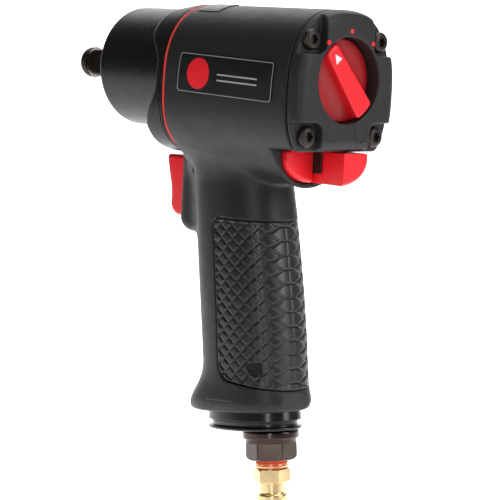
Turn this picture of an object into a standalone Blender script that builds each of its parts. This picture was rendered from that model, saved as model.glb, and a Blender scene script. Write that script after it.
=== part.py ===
"""Air impact wrench, 12.7 mm square drive, built as separate pieces.

Frame: the origin is the centre of the anvil's front face on the spindle axis, +Y points forward out
of the square drive, +X to the operator's right and +Z up. Sizes are named in millimetres; the helper
functions turn them into metres when they make a mesh.
"""

import math

import bmesh
import bpy
from mathutils import Matrix, Vector

MM = 0.001

# Fits
SEAT = 0.3          # gap between two pieces that rest on each other
RUN = 0.4           # gap round a piece that turns or slides

# Drive end
DRIVE_FLAT = 12.7   # across the flats of the square drive
DRIVE_LENGTH = 17.5
DRIVE_TIP = 1.2
JOURNAL_R = 9.6
RING_BACK = 3.9     # from the tip to the middle of the socket retainer ring
RING_WIRE_R = 0.55

# Hammer case
NOSE_R = 26.1
NOSE_WALL = 3.4
NOSE_FRONT = 37.4   # every *_FRONT and *_BACK place is a distance behind the anvil's tip
BOSS_R = 15.2
BOSS_FRONT = 26.0
FLANGE_FRONT = 80.0
LUG_R = 4.6
LUG_REACH = 2.6     # how far a lug runs in front of its screw's thread
CASE_BACK = 86.0
FRONT_WALL = 5.0
BUSHING_WALL = 2.8

# Hammer mechanism
CAGE_R = 21.6
CAGE_STRUT = 4.2
CAGE_RING = 3.8
CAGE_PLATE = 6.4
HAMMER_THICK = 13.4
HAMMER_BORE_R = 12.0
HAMMER_LONG_R = 20.3
HAMMER_SHORT_R = 14.6
PIN_R = 2.5
PIN_OFFSET = 16.2   # from the spindle axis to a hammer pin's axis
HAMMER_SWING_DEG = 3.5
JAW_R = 11.2
SPINE_R = 9.0       # the anvil's body between its jaws

# Motor
GASKET_THICK = 1.0
HOUSING_FRONT = 87.3
HOUSING_BACK = 157.8
BORE_R = 22.6       # the motor bore through the housing
PLATE_THICK = 6.4
SEAT_FLOOR = 1.2    # what an end plate keeps behind its bearing
ROTOR_LENGTH = 38.2
ROTOR_R = 17.0
LINER_BORE_R = 19.2
SHAFT_R = 5.2
VANES = 6
VANE_THICK = 2.0
VANE_HEIGHT = 7.0
BEARING_R = 10.5
SPLINES = 6

# Body outline, a section across the spindle axis
BODY_HALF_FRONT = 31.2
BODY_HALF_BACK = 28.8
BODY_MID_Z = -5.0
BODY_TOP = 28.6
BODY_BOTTOM = -36.0
BODY_BACK_BOTTOM = -29.0
BODY_POWER = 2.5
BODY_LOW_POWER = 2.9

# Rear cover and its dial
COVER_THICK = 6.4
COVER_GASKET = 0.7
HUB_DEEP = 14.6
DIAL_RECESS_R = 17.7
DIAL_FACE_DEEP = 6.0
DIAL_THICK = 3.0
DIAL_STEM_R = 5.0
DETENT_R = 12.6     # from the spindle axis to the ball that clicks the dial
KNOB_WIDTH = 9.0
KNOB_INSET = 1.5    # from the dial's recess to each end of its bar
DIAL_TURN_DEG = 81.0
DIAL_REST_DEG = -40.5
SCREW_X = 19.8
SCREW_HIGH = 16.7
SCREW_LOW = -23.3
SCREW_R = 1.9
SCREW_HEAD_R = 4.7
SCREW_HEAD_HIGH = 2.6
POCKET_DEEP = 4.5
SCREW_REACH = 14.0  # how far a housing screw threads into the hammer case's flange

# Reversing buttons and valve
BUTTON_HALF = 15.4
BUTTON_TOP = -29.7
BUTTON_MID_Z = -32.5
BUTTON_DROP = 10.7
BUTTON_TRAVEL = 17.4
BUTTON_GAP = 1.2    # between the two buttons, where the dividing rib stands
BUTTON_OUT_FACE = 164.4
RIM_BACK = 145.0    # the rear rim of the boss round the buttons
BUTTON_WALL = 2.7
BUTTON_BLOCK = 19.2
RACK_LENGTH = 29.0
PINION_R = 7.4
PINION_TEETH = 14
RACK_ADDENDUM = 0.7     # tooth height above the pitch line, in modules, and its depth below it
RACK_DEDENDUM = 1.25
BACKLASH = 0.36
PRESSURE_DEG = 20.0
PINION_BACK = 118.4
PINION_TOP = -31.5
PINION_THICK = 5.0
SPOOL_R = 5.6
SPOOL_BOTTOM = -47.0
VALVE_WALL = 2.2

# Handle: (height, how far behind the tip, half depth, half width)
HANDLE_RINGS = (
    (-20.0, 103.0, 20.0, 16.0),
    (-45.0, 106.6, 22.4, 18.0),
    (-60.0, 109.4, 23.2, 18.4),
    (-75.0, 112.2, 23.5, 18.7),
    (-92.0, 115.1, 23.9, 18.9),
    (-110.0, 117.9, 24.1, 18.9),
    (-126.0, 120.0, 23.9, 19.0),
    (-132.0, 119.7, 25.2, 19.3),
    (-138.0, 117.8, 28.9, 20.1),
    (-141.6, 117.4, 29.2, 20.2),
    (-143.2, 117.5, 28.0, 18.8),
)
HANDLE_POWER = 2.35
HANDLE_RAKE_DEG = 6.56
FOOT_TOP = -131.0       # below here the handle's sections turn square to the inlet axis
FOOT_TURNED = -140.0

# Trigger
TRIGGER_TOP = -37.6
TRIGGER_BOTTOM = -64.0
TRIGGER_HALF = 6.0
TRIGGER_TRAVEL = 6.0
TRIGGER_FACE = 66.0
TRIGGER_BOSS_FRONT = 75.0
TRIGGER_BODY_BACK = 84.0
TRIGGER_PIN_BACK = 89.7
TRIGGER_PIN_Z = -42.4
TRIGGER_PIN_R = 1.2
TANG_HALF = 3.2
BOSS_WALL = 3.2
STEM_Z = -55.0
STEM_R = 1.6
STEM_BACK = 106.0
SPRING_LONG = 16.4
THROTTLE_R = 6.0

# Grip sleeve
GRIP_TOP = -61.0
GRIP_LOW = -130.0
GRIP_THICK = 2.0
GRIP_HALF_ANGLE = 95.0

# Inlet and exhaust at the foot of the handle
INLET_BACK = 131.3  # the inlet axis where it leaves the handle
INLET_Z = -152.2
INLET_FLANGE_R = 12.1
INLET_HEX = 19.0
INLET_HEX_LONG = 9.1
INLET_FLANGE_TOP = -2.0     # places down the inlet axis, from where it leaves the handle
INLET_FLANGE = 1.3
INLET_BODY_R = 8.4
INLET_UP = 24.0
AIR_R = 5.0
PLUG_THREAD_R = 6.4
PLUG_HEX = 14.0
INLET_BORE_R = 6.9
DEFLECTOR_AHEAD = 9.6       # from the inlet axis forward to the deflector's middle
DEFLECTOR_DEPTH = 22.6
DEFLECTOR_HALF = 16.0
DEFLECTOR_POWER = 2.2
DEFLECTOR_TOP = -12.4
DEFLECTOR_LOW = -2.3
CHAMBER_HALF = 9.0
CHAMBER_START = 2.6         # from the deflector's middle forward to its chamber
CHAMBER_END = 16.0
EXHAUST_FRONT_WALL = 6.0

# Labels
LABEL_THICK = 0.4
LABEL_GAP = 0.15
LABEL_LONG = 54.6
LABEL_HIGH = 16.2
LABEL_FRONT = 95.9
LABEL_MID_Z = -0.9

LINER_FRONT = HOUSING_FRONT + PLATE_THICK + 2 * SEAT
LINER_BACK = LINER_FRONT + ROTOR_LENGTH + 2 * SEAT
COVER_SEAM = HOUSING_BACK + COVER_GASKET + 2 * SEAT
COVER_FACE = COVER_SEAM + COVER_THICK
DIAL_FACE = COVER_FACE - DIAL_FACE_DEEP
DIAL_FLOOR = DIAL_FACE - DIAL_THICK
CAGE_FRONT = NOSE_FRONT + FRONT_WALL + 1.4
HAMMERS_FRONT = CAGE_FRONT + CAGE_RING + RUN
CAGE_PLATE_FRONT = HAMMERS_FRONT + 2 * HAMMER_THICK + 2 * RUN
CAGE_BACK = CAGE_PLATE_FRONT + CAGE_PLATE
SPINE_BACK = CAGE_PLATE_FRONT + 0.5 * CAGE_PLATE
LINER_OFFSET = LINER_BORE_R - ROTOR_R - SEAT
CASE_CLEAR_Z = BODY_BOTTOM - SEAT
PINION_MODULE = 2 * PINION_R / PINION_TEETH


def material(name, colour, roughness, metallic=0.0):
    """One Principled material with a plain colour."""
    made = bpy.data.materials.new(name)
    made.use_nodes = True
    shader = made.node_tree.nodes["Principled BSDF"]
    shader.inputs["Base Color"].default_value = (*colour, 1.0)
    shader.inputs["Roughness"].default_value = roughness
    shader.inputs["Metallic"].default_value = metallic
    return made


def make_materials():
    """The materials of the wrench, by plain name."""
    return {
        "composite": material("charcoal_composite", (0.035, 0.033, 0.034), 0.6),
        "case": material("black_coated_alloy", (0.013, 0.012, 0.013), 0.42),
        "cover": material("cover_composite", (0.05, 0.048, 0.05), 0.6),
        "red": material("red_plastic", (0.85, 0.012, 0.02), 0.35),
        "gasket": material("red_gasket", (0.6, 0.04, 0.03), 0.6),
        "rubber": material("grip_rubber", (0.02, 0.02, 0.02), 0.75),
        "gloss": material("deflector_plastic", (0.012, 0.012, 0.012), 0.25),
        "steel": material("machined_steel", (0.45, 0.44, 0.43), 0.32, 1.0),
        "dark_steel": material("dark_steel", (0.07, 0.055, 0.05), 0.35, 1.0),
        "cast": material("cast_iron", (0.2, 0.2, 0.2), 0.55, 1.0),
        "brass": material("brass", (0.83, 0.6, 0.22), 0.28, 1.0),
        "bronze": material("bearing_bronze", (0.62, 0.38, 0.18), 0.4, 1.0),
        "alloy": material("plain_aluminium", (0.6, 0.6, 0.62), 0.4, 1.0),
        "vane": material("vane_fibre", (0.16, 0.08, 0.035), 0.7),
        "nitrile": material("nitrile_rubber", (0.015, 0.015, 0.015), 0.7),
        "sealant": material("thread_sealant", (0.75, 0.07, 0.02), 0.5),
        "label": material("label_foil", (0.012, 0.012, 0.013), 0.3),
        "felt": material("silencer_felt", (0.3, 0.29, 0.27), 0.95),
        "mesh": material("screen_bronze", (0.5, 0.35, 0.16), 0.5, 1.0),
    }


def finish(name, work, surface, origin=(0.0, 0.0, 0.0), smooth=True):
    """Turns a bmesh drawn in millimetres into an object in metres whose origin is at the given point."""
    work.normal_update()
    bmesh.ops.recalc_face_normals(work, faces=work.faces)
    mesh = bpy.data.meshes.new(name)
    work.to_mesh(mesh)
    work.free()
    mesh.transform(Matrix.Scale(MM, 4) @ Matrix.Translation(-Vector(origin)))
    if smooth:
        mesh.shade_smooth()
        mesh.set_sharp_from_angle(angle=math.radians(35))
    made = bpy.data.objects.new(name, mesh)
    made.location = Vector(origin) * MM
    bpy.context.scene.collection.objects.link(made)
    if surface is not None:
        mesh.materials.append(surface)
    return made


def turned(name, profile, surface, steps=24, centre=(0.0, 0.0), origin=None):
    """Turns a profile of (distance behind the tip, radius) round an axis along Y through centre (x, z)."""
    work = bmesh.new()
    x, z = centre
    points = [work.verts.new((x + radius, -back, z)) for back, radius in profile]
    for first, second in zip(points, points[1:]):
        work.edges.new((first, second))
    if profile[0][1] > 0:
        work.edges.new((points[-1], points[0]))
    geometry = work.verts[:] + work.edges[:]
    bmesh.ops.spin(work, geom=geometry, cent=(x, 0.0, z), axis=(0.0, 1.0, 0.0), angle=math.tau,
                   steps=steps, use_merge=True)
    bmesh.ops.remove_doubles(work, verts=work.verts, dist=1e-5)
    return finish(name, work, surface, origin or (x, 0.0, z))


def tube(name, front, back, inner, outer, surface, **more):
    """A plain ring or tube along Y."""
    profile = [(front, inner), (front, outer), (back, outer), (back, inner)]
    return turned(name, profile, surface, **more)


def rod(name, front, back, radius, surface, **more):
    """A plain round rod along Y."""
    profile = [(front, 0.0), (front, radius), (back, radius), (back, 0.0)]
    return turned(name, profile, surface, **more)


def spindle_lay():
    """Lays an outline (x, z) across the spindle axis, so that its extrusion runs back along it."""
    return Matrix(((1, 0, 0, 0), (0, 0, -1, 0), (0, 1, 0, 0), (0, 0, 0, 1)))


def across_lay():
    """Lays an outline (y, z) on the centre plane, so that its extrusion runs along X."""
    return Matrix(((0, 0, 1, 0), (1, 0, 0, 0), (0, 1, 0, 0), (0, 0, 0, 1)))


def prism(name, outline, start, end, surface, turn=None, origin=(0.0, 0.0, 0.0)):
    """Extrudes an outline (u, v) from w = start to w = end and places it with the matrix turn.

    Without a matrix u is X, v is Z and w is the distance behind the tip.
    """
    turn = turn or spindle_lay()
    work = bmesh.new()
    face = work.faces.new([work.verts.new(turn @ Vector((u, v, start))) for u, v in outline])
    grown = bmesh.ops.extrude_face_region(work, geom=[face], use_keep_orig=True)
    top = [item for item in grown["geom"] if isinstance(item, bmesh.types.BMVert)]
    step = (turn @ Vector((0, 0, end))) - (turn @ Vector((0, 0, start)))
    bmesh.ops.translate(work, verts=top, vec=step)
    return finish(name, work, surface, origin)


def flat_lay():
    """Lays an outline (x, y) flat, so that its extrusion runs along Z."""
    return Matrix.Identity(4)


def loft(name, rings, surface, origin=(0.0, 0.0, 0.0)):
    """Joins rings of points, each with as many points as the next, and closes both ends."""
    work = bmesh.new()
    loops = [[work.verts.new(point) for point in ring] for ring in rings]
    for low, high in zip(loops, loops[1:]):
        for index in range(len(low)):
            after = (index + 1) % len(low)
            work.faces.new((low[index], low[after], high[after], high[index]))
    work.faces.new(loops[0])
    work.faces.new(loops[-1])
    return finish(name, work, surface, origin)


def box(name, low, high, surface, origin=(0.0, 0.0, 0.0)):
    """A box between two corners (x, y, z)."""
    outline = [(low[0], low[1]), (high[0], low[1]), (high[0], high[1]), (low[0], high[1])]
    return prism(name, outline, low[2], high[2], surface, flat_lay(), origin)


def arc(radius_u, radius_v, start_deg, end_deg, count, centre=(0.0, 0.0)):
    """Points along an arc of an ellipse."""
    angles = [start_deg + (end_deg - start_deg) * step / (count - 1) for step in range(count)]
    return [(centre[0] + radius_u * math.cos(math.radians(angle)),
             centre[1] + radius_v * math.sin(math.radians(angle))) for angle in angles]


def hexagon(across, turn_deg=0.0):
    """A hexagon by its width across the flats."""
    radius = across / math.sqrt(3)
    return [(radius * math.cos(math.radians(60 * side + turn_deg)),
             radius * math.sin(math.radians(60 * side + turn_deg))) for side in range(6)]


def combine(target, tool, operation="DIFFERENCE"):
    """Adds an exact Boolean and hides its tool."""
    step = target.modifiers.new(f"{operation.lower()}_{tool.name}", "BOOLEAN")
    step.operation = operation
    step.solver = "EXACT"
    step.object = tool
    tool.hide_render = True
    tool.display_type = "WIRE"
    return target


def super_ring(half_x, half_y, power, count):
    """A closed superellipse, starting at +X."""
    ring = []
    for index in range(count):
        angle = math.tau * index / count
        cos, sin = math.cos(angle), math.sin(angle)
        ring.append((half_x * math.copysign(abs(cos) ** (2 / power), cos),
                     half_y * math.copysign(abs(sin) ** (2 / power), sin)))
    return ring


def body_section(back, inset=0.0, count=28):
    """The body's outline in X and Z at a distance behind the tip, the same on housing and cover."""
    share = (back - HOUSING_FRONT) / (HOUSING_BACK - HOUSING_FRONT)
    half = BODY_HALF_FRONT + (BODY_HALF_BACK - BODY_HALF_FRONT) * share - inset
    rise = BODY_TOP - BODY_MID_Z - inset
    drop = BODY_MID_Z - BODY_BOTTOM - inset
    upper = super_ring(half, rise, BODY_POWER, count)[:count // 2]
    lower = super_ring(half, drop, BODY_LOW_POWER, count)[count // 2:]
    return [(x, BODY_MID_Z + z) for x, z in upper + lower]


def body_block(name, backs, insets, surface, bottom=None, count=28):
    """A length of the body through several sections, cut off flat below when a bottom is given."""
    rings = []
    for back, inset in zip(backs, insets):
        low = -math.inf if bottom is None else bottom + inset
        rings.append([(x, -back, max(z, low)) for x, z in body_section(back, inset, count)])
    return loft(name, rings, surface)


def handle_at(height):
    """Where the handle is at a height: (distance behind the tip, half depth, half width)."""
    rows = HANDLE_RINGS
    for upper, lower in zip(rows, rows[1:]):
        if height >= lower[0]:
            break
    share = min(1.0, max(0.0, (upper[0] - height) / (upper[0] - lower[0])))
    return tuple(upper[item] + (lower[item] - upper[item]) * share for item in (1, 2, 3))


def handle_tilt(height):
    """The slope of the handle's section at a height: level above, square to the inlet axis at the foot."""
    share = (FOOT_TOP - height) / (FOOT_TOP - FOOT_TURNED)
    return math.tan(math.radians(HANDLE_RAKE_DEG)) * min(1.0, max(0.0, share))


def handle_point(height, angle_deg, inset=0.0):
    """A point on the handle; 0 degrees is its rear, and the angle grows towards +X."""
    back, depth, half = handle_at(height)
    angle = math.radians(angle_deg)
    side, rear = math.sin(angle), math.cos(angle)
    x = (half - inset) * math.copysign(abs(side) ** (2 / HANDLE_POWER), side)
    y = (depth - inset) * math.copysign(abs(rear) ** (2 / HANDLE_POWER), rear)
    return (x, -back - y, height + y * handle_tilt(height))


def handle_skin(name, top, low, half_angle, inner, outer, surface, columns=16):
    """A curved plate round the handle's rear, between two insets from its surface."""
    heights = [top] + [row[0] for row in HANDLE_RINGS if low < row[0] < top] + [low]
    rings = []
    for height in heights:
        angles = [half_angle * (2 * step / columns - 1) for step in range(columns + 1)]
        ring = [handle_point(height, angle, outer) for angle in angles]
        ring += [handle_point(height, angle, inner) for angle in reversed(angles)]
        rings.append(ring)
    return loft(name, rings, surface)


def screw_places():
    """The four long screws' axes (x, z)."""
    return [(side * SCREW_X, height) for height in (SCREW_HIGH, SCREW_LOW) for side in (-1, 1)]


def rake_matrix(back, height):
    """A frame whose W axis runs down the raked inlet axis, from the given place."""
    down = Vector((0, -math.sin(math.radians(HANDLE_RAKE_DEG)), -math.cos(math.radians(HANDLE_RAKE_DEG))))
    side = Vector((1, 0, 0))
    front = down.cross(side)
    turn = Matrix((side, front, down)).transposed().to_4x4()
    turn.translation = Vector((0, -back, height))
    return turn


def raked(name, profile, surface, steps=28):
    """Turns a profile of (distance down the inlet axis, radius) round that axis."""
    work = bmesh.new()
    points = [work.verts.new((radius, 0, down)) for down, radius in profile]
    for first, second in zip(points, points[1:]):
        work.edges.new((first, second))
    if profile[0][1] > 0:
        work.edges.new((points[-1], points[0]))
    bmesh.ops.spin(work, geom=work.verts[:] + work.edges[:], cent=(0, 0, 0), axis=(0, 0, 1),
                   angle=math.tau, steps=steps, use_merge=True)
    bmesh.ops.remove_doubles(work, verts=work.verts, dist=1e-5)
    work.transform(rake_matrix(INLET_BACK, INLET_Z))
    return finish(name, work, surface, (0, -INLET_BACK, INLET_Z))


def make_hammer_case(look):
    """The front casing: a turned nose with a boss, and a flange that carries the screw threads."""
    inner = NOSE_R - NOSE_WALL
    bore = JOURNAL_R + RUN + BUSHING_WALL + SEAT
    profile = [
        (BOSS_FRONT, bore),
        (BOSS_FRONT, BOSS_R - 1.0),
        (BOSS_FRONT + 1.0, BOSS_R),
        (NOSE_FRONT - 4.0, BOSS_R + 1.6),
        (NOSE_FRONT, NOSE_R - 3.2),
        (NOSE_FRONT + 0.9, NOSE_R - 0.9),
        (NOSE_FRONT + 3.2, NOSE_R),
        (CASE_BACK, NOSE_R + 0.2),
        (CASE_BACK, inner),
        (NOSE_FRONT + FRONT_WALL, inner),
        (NOSE_FRONT + FRONT_WALL, bore),
    ]
    case = turned("hammer_case", profile, look["case"], steps=28)
    backs = (FLANGE_FRONT, FLANGE_FRONT + 1.2, CASE_BACK)
    flange = body_block("flange_block", backs, (1.2, 0.0, 0.0), None)
    combine(flange, rod("flange_bore", FLANGE_FRONT - 1, CASE_BACK + 1, inner + 1.0, None, steps=28))
    combine(case, flange, "UNION")
    for number, (x, z) in enumerate(screw_places(), 1):
        reach = CASE_BACK - SCREW_REACH
        place = {"steps": 10, "centre": (x, z)}
        front = reach - LUG_REACH
        lug = turned(f"lug_{number}", [(front, 0), (front, LUG_R - 2.0), (front + 2.0, LUG_R),
                                       (CASE_BACK - 1.0, LUG_R), (CASE_BACK - 1.0, 0)], None, **place)
        combine(lug, rod(f"lug_bore_{number}", reach - 6, CASE_BACK + 1, inner + 1.0, None, steps=28))
        combine(case, lug, "UNION")
        combine(case, rod(f"case_thread_{number}", reach, CASE_BACK + 1, SCREW_R + SEAT, None, **place))
    return case


def make_anvil(look):
    """The output shaft: square drive, journal, and a spine with one jaw for each hammer."""
    square = DRIVE_FLAT / 2
    corner = 1.0
    outline = [(square, square - corner), (square - corner, square)]
    outline += [(-square + corner, square), (-square, square - corner)]
    outline += [(-square, -square + corner), (-square + corner, -square)]
    outline += [(square - corner, -square), (square, -square + corner)]
    tip = [(u * 0.86, v * 0.86) for u, v in outline]
    rings = [[(u, -back, v) for u, v in ring] for back, ring in
             ((0.0, tip), (DRIVE_TIP, outline), (DRIVE_LENGTH + 2.0, outline))]
    anvil = loft("anvil", rings, look["dark_steel"])
    collar = JOURNAL_R + 1.6
    profile = [
        (DRIVE_LENGTH, 0),
        (DRIVE_LENGTH, JOURNAL_R - 1.0),
        (DRIVE_LENGTH + 1.0, JOURNAL_R),
        (NOSE_FRONT + FRONT_WALL + SEAT, JOURNAL_R),
        (NOSE_FRONT + FRONT_WALL + SEAT, collar - 0.6),
        (CAGE_FRONT + CAGE_RING, collar - 0.6),
        (HAMMERS_FRONT + 1.0, SPINE_R),
        (CAGE_PLATE_FRONT - RUN, SPINE_R),
        (CAGE_PLATE_FRONT - RUN, SHAFT_R),
        (SPINE_BACK - RUN, SHAFT_R),
        (SPINE_BACK - RUN, 0),
    ]
    combine(anvil, turned("anvil_shaft", profile, None, steps=28), "UNION")
    for index, side in enumerate((-1, 1)):
        front = HAMMERS_FRONT + index * (HAMMER_THICK + RUN) + 1.6
        outline = arc(JAW_R, JAW_R, -14, 14, 5) + arc(6.0, 6.0, 20, -20, 3)
        outline = [(side * u, v) for u, v in outline]
        jaw = prism(f"jaw_{index}", outline, front, front + HAMMER_THICK - 3.0, None)
        combine(anvil, jaw, "UNION")
    groove = RING_WIRE_R + 0.35
    combine(anvil, tube("ring_groove", RING_BACK - groove, RING_BACK + groove, 5.6, 11.0, None, steps=28))
    return anvil


def make_retainer_ring(look):
    """The spring ring in the square drive's groove that holds a socket."""
    centre = 5.6 + SEAT + RING_WIRE_R
    profile = [(RING_BACK + RING_WIRE_R * math.cos(math.radians(angle)),
                centre + RING_WIRE_R * math.sin(math.radians(angle))) for angle in range(0, 360, 60)]
    return turned("socket_retainer_ring", profile, look["steel"], steps=18)


def make_bushing(look):
    """The bronze bushing that the anvil turns in."""
    inner = JOURNAL_R + RUN
    return tube("anvil_bushing", BOSS_FRONT + 3.4, NOSE_FRONT + FRONT_WALL - SEAT, inner,
                inner + BUSHING_WALL, look["bronze"])


def make_anvil_seal(look):
    """The dust seal in front of the bushing."""
    inner = JOURNAL_R + RUN
    outer = inner + BUSHING_WALL
    return tube("anvil_seal", BOSS_FRONT + 0.6, BOSS_FRONT + 3.0, inner, outer, look["nitrile"])


def make_cage(look):
    """The hammer cage: a front ring, two struts and a driving plate with a splined bore."""
    inner = CAGE_R - CAGE_STRUT
    spline_r = SHAFT_R + 0.9 + RUN
    ring_bore = JOURNAL_R + 1.0 + 2 * RUN
    profile = [
        (CAGE_FRONT, ring_bore),
        (CAGE_FRONT, CAGE_R),
        (CAGE_BACK, CAGE_R),
        (CAGE_BACK, spline_r),
        (CAGE_PLATE_FRONT, spline_r),
        (CAGE_PLATE_FRONT, inner),
        (HAMMERS_FRONT - RUN, inner),
        (HAMMERS_FRONT - RUN, ring_bore),
    ]
    cage = turned("hammer_cage", profile, look["steel"], steps=28)
    for side in (-1, 1):
        far = side * 2 * CAGE_R
        low = (min(0.0, far), -CAGE_PLATE_FRONT, -HAMMER_SHORT_R + 0.2)
        high = (max(0.0, far), -HAMMERS_FRONT + RUN, HAMMER_SHORT_R - 0.2)
        combine(cage, box(f"cage_window_{side + 1}", low, high, None))
        place = {"steps": 14, "centre": (side * PIN_OFFSET, 0.0)}
        combine(cage, rod(f"cage_pin_hole_{side + 1}", CAGE_FRONT + 1.2, CAGE_BACK - 1.2, PIN_R + SEAT, None,
                          **place))
    for index in range(SPLINES):
        angle = math.tau * index / SPLINES
        turn = Matrix.Rotation(angle, 4, "Y") @ spindle_lay()
        key = [(spline_r + 0.8, -0.9), (spline_r + 0.8, 0.9), (SHAFT_R + 0.35, 0.6), (SHAFT_R + 0.35, -0.6)]
        combine(cage, prism(f"cage_key_{index}", key, SPINE_BACK, CAGE_BACK, None, turn), "UNION")
    return cage


def make_hammer(name, front, side, look):
    """A ring-shaped hammer that swings on the cage pin at one side; its tooth strikes an anvil jaw."""
    back = front + HAMMER_THICK
    outline = arc(HAMMER_LONG_R, HAMMER_SHORT_R, 0, 360, 37)[:-1]
    hammer = prism(name, outline, front, back, look["steel"], None, (side * PIN_OFFSET, -front, 0))
    combine(hammer, rod(f"{name}_bore", front - 1, back + 1, HAMMER_BORE_R, None, steps=36))
    combine(hammer, rod(f"{name}_pin_hole", front - 1, back + 1, PIN_R + RUN, None, steps=16,
                        centre=(side * PIN_OFFSET, 0)))
    notch = PIN_R + RUN + 2 * PIN_OFFSET * math.sin(math.radians(HAMMER_SWING_DEG))
    ends = sorted((-side * (PIN_OFFSET - PIN_R - RUN), -side * 30.0))
    low = (ends[0], -back - 1, -notch)
    high = (ends[1], -front + 1, notch)
    combine(hammer, box(f"{name}_notch", low, high, None))
    root, tip = HAMMER_SHORT_R - 1.0, JAW_R + 0.4
    tooth = [(-2.6, root), (2.6, root), (1.6, tip), (-1.6, tip)]
    combine(hammer, prism(f"{name}_tooth", tooth, front, back, None), "UNION")
    return hammer


def make_rotor(look):
    """The slotted rotor with its shafts and the spline that drives the cage."""
    front = LINER_FRONT + SEAT
    back = LINER_BACK - SEAT
    outline = []
    half = math.degrees(math.asin((VANE_THICK / 2 + SEAT) / ROTOR_R))
    for index in range(VANES):
        middle = 360 * index / VANES
        outline += slot_points(middle)
        outline += arc(ROTOR_R, ROTOR_R, middle + half, middle + 360 / VANES - half, 8)
    rotor = prism("rotor", outline, front, back, look["steel"])
    shaft = [(SPINE_BACK + RUN, 0), (SPINE_BACK + RUN, SHAFT_R - 0.2),
             (CAGE_BACK + RUN, SHAFT_R - 0.2), (CAGE_BACK + 2 * RUN, SHAFT_R),
             (LINER_BACK + PLATE_THICK, SHAFT_R), (LINER_BACK + PLATE_THICK, 0)]
    combine(rotor, turned("rotor_shaft", shaft, None, steps=24), "UNION")
    for index in range(SPLINES):
        angle = math.tau * (index + 0.5) / SPLINES
        turn = Matrix.Rotation(angle, 4, "Y") @ spindle_lay()
        tooth = [(SHAFT_R - 1.0, -1.0), (SHAFT_R - 1.0, 1.0), (SHAFT_R + 0.8, 0.8), (SHAFT_R + 0.8, -0.8)]
        spline = prism(f"spline_{index}", tooth, SPINE_BACK + RUN, CAGE_BACK + RUN, None, turn)
        combine(rotor, spline, "UNION")
    return rotor


def slot_points(middle_deg):
    """The two floor corners of one vane slot in the rotor's outline."""
    half = VANE_THICK / 2 + SEAT
    floor = ROTOR_R - VANE_HEIGHT - 2 * SEAT
    angle = math.radians(middle_deg)
    cos, sin = math.cos(angle), math.sin(angle)
    return [(floor * cos - v * sin, floor * sin + v * cos) for v in (-half, half)]


def make_vane(index, look):
    """One fibre vane, drawn fully in, so that it clears the liner's near side."""
    angle = math.tau * index / VANES
    half = VANE_THICK / 2
    outline = [(ROTOR_R - VANE_HEIGHT - SEAT, -half), (ROTOR_R - SEAT, -half), (ROTOR_R - SEAT, half),
               (ROTOR_R - VANE_HEIGHT - SEAT, half)]
    turn = Matrix.Rotation(-angle, 4, "Y") @ spindle_lay()
    return prism(f"vane_{index + 1}", outline, LINER_FRONT + 2 * SEAT, LINER_BACK - 2 * SEAT, look["vane"],
                 turn)


def make_liner(look):
    """The motor cylinder, bored off centre so that the air chambers grow and shrink."""
    liner = rod("motor_cylinder", LINER_FRONT, LINER_BACK, BORE_R - SEAT, look["cast"], steps=28)
    combine(liner, rod("liner_bore", LINER_FRONT - 1, LINER_BACK + 1, LINER_BORE_R, None, steps=28,
                       centre=(0, LINER_OFFSET)))
    for index, across in enumerate((-8.0, 0.0, 8.0)):
        low = (across - 2.0, -LINER_BACK + 8.0, -BORE_R - 2)
        high = (across + 2.0, -LINER_FRONT - 8.0, -6.0)
        combine(liner, box(f"exhaust_port_{index}", low, high, None))
    return liner


def make_end_plate(name, front, look):
    """A plate that closes the motor cylinder and seats a ball bearing."""
    back = front + PLATE_THICK
    outer = BORE_R - SEAT
    step = BEARING_R + SEAT
    lip = SHAFT_R + 1.2
    seat_front = name.startswith("front")
    if seat_front:
        profile = [(front, step), (front, outer), (back, outer), (back, lip),
                   (back - SEAT_FLOOR, lip), (back - SEAT_FLOOR, step)]
    else:
        profile = [(front, lip), (front, outer), (back, outer), (back, step),
                   (front + SEAT_FLOOR, step), (front + SEAT_FLOOR, lip)]
    return turned(name, profile, look["cast"], steps=28)


def make_bearing(end, front, look):
    """A ball bearing as outer race, inner race and caged ball ring."""
    back = front + PLATE_THICK - SEAT_FLOOR - 2 * SEAT
    middle = (front + back) / 2
    pitch = (BEARING_R + SHAFT_R) / 2 + 0.1
    outer = [(front, pitch + 1.5), (front, BEARING_R), (back, BEARING_R), (back, pitch + 1.5)]
    inner = [(front, SHAFT_R + 0.15), (front, pitch - 1.4), (back, pitch - 1.4), (back, SHAFT_R + 0.15)]
    made = [turned(f"{end}_bearing_outer_race", outer, look["steel"], steps=28)]
    made.append(turned(f"{end}_bearing_inner_race", inner, look["steel"], steps=24))
    ring = tube(f"{end}_bearing_balls", middle - 0.5, middle + 0.5, pitch - 0.6, pitch + 0.6, look["steel"],
                steps=12)
    for index in range(6):
        angle = math.tau * (index + 0.5) / 6
        work = bmesh.new()
        bmesh.ops.create_icosphere(work, subdivisions=1, radius=1.15)
        work.transform(Matrix.Translation((pitch * math.cos(angle), -middle, pitch * math.sin(angle))))
        combine(ring, finish(f"{end}_ball_{index}", work, None), "UNION")
    made.append(ring)
    return made


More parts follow.
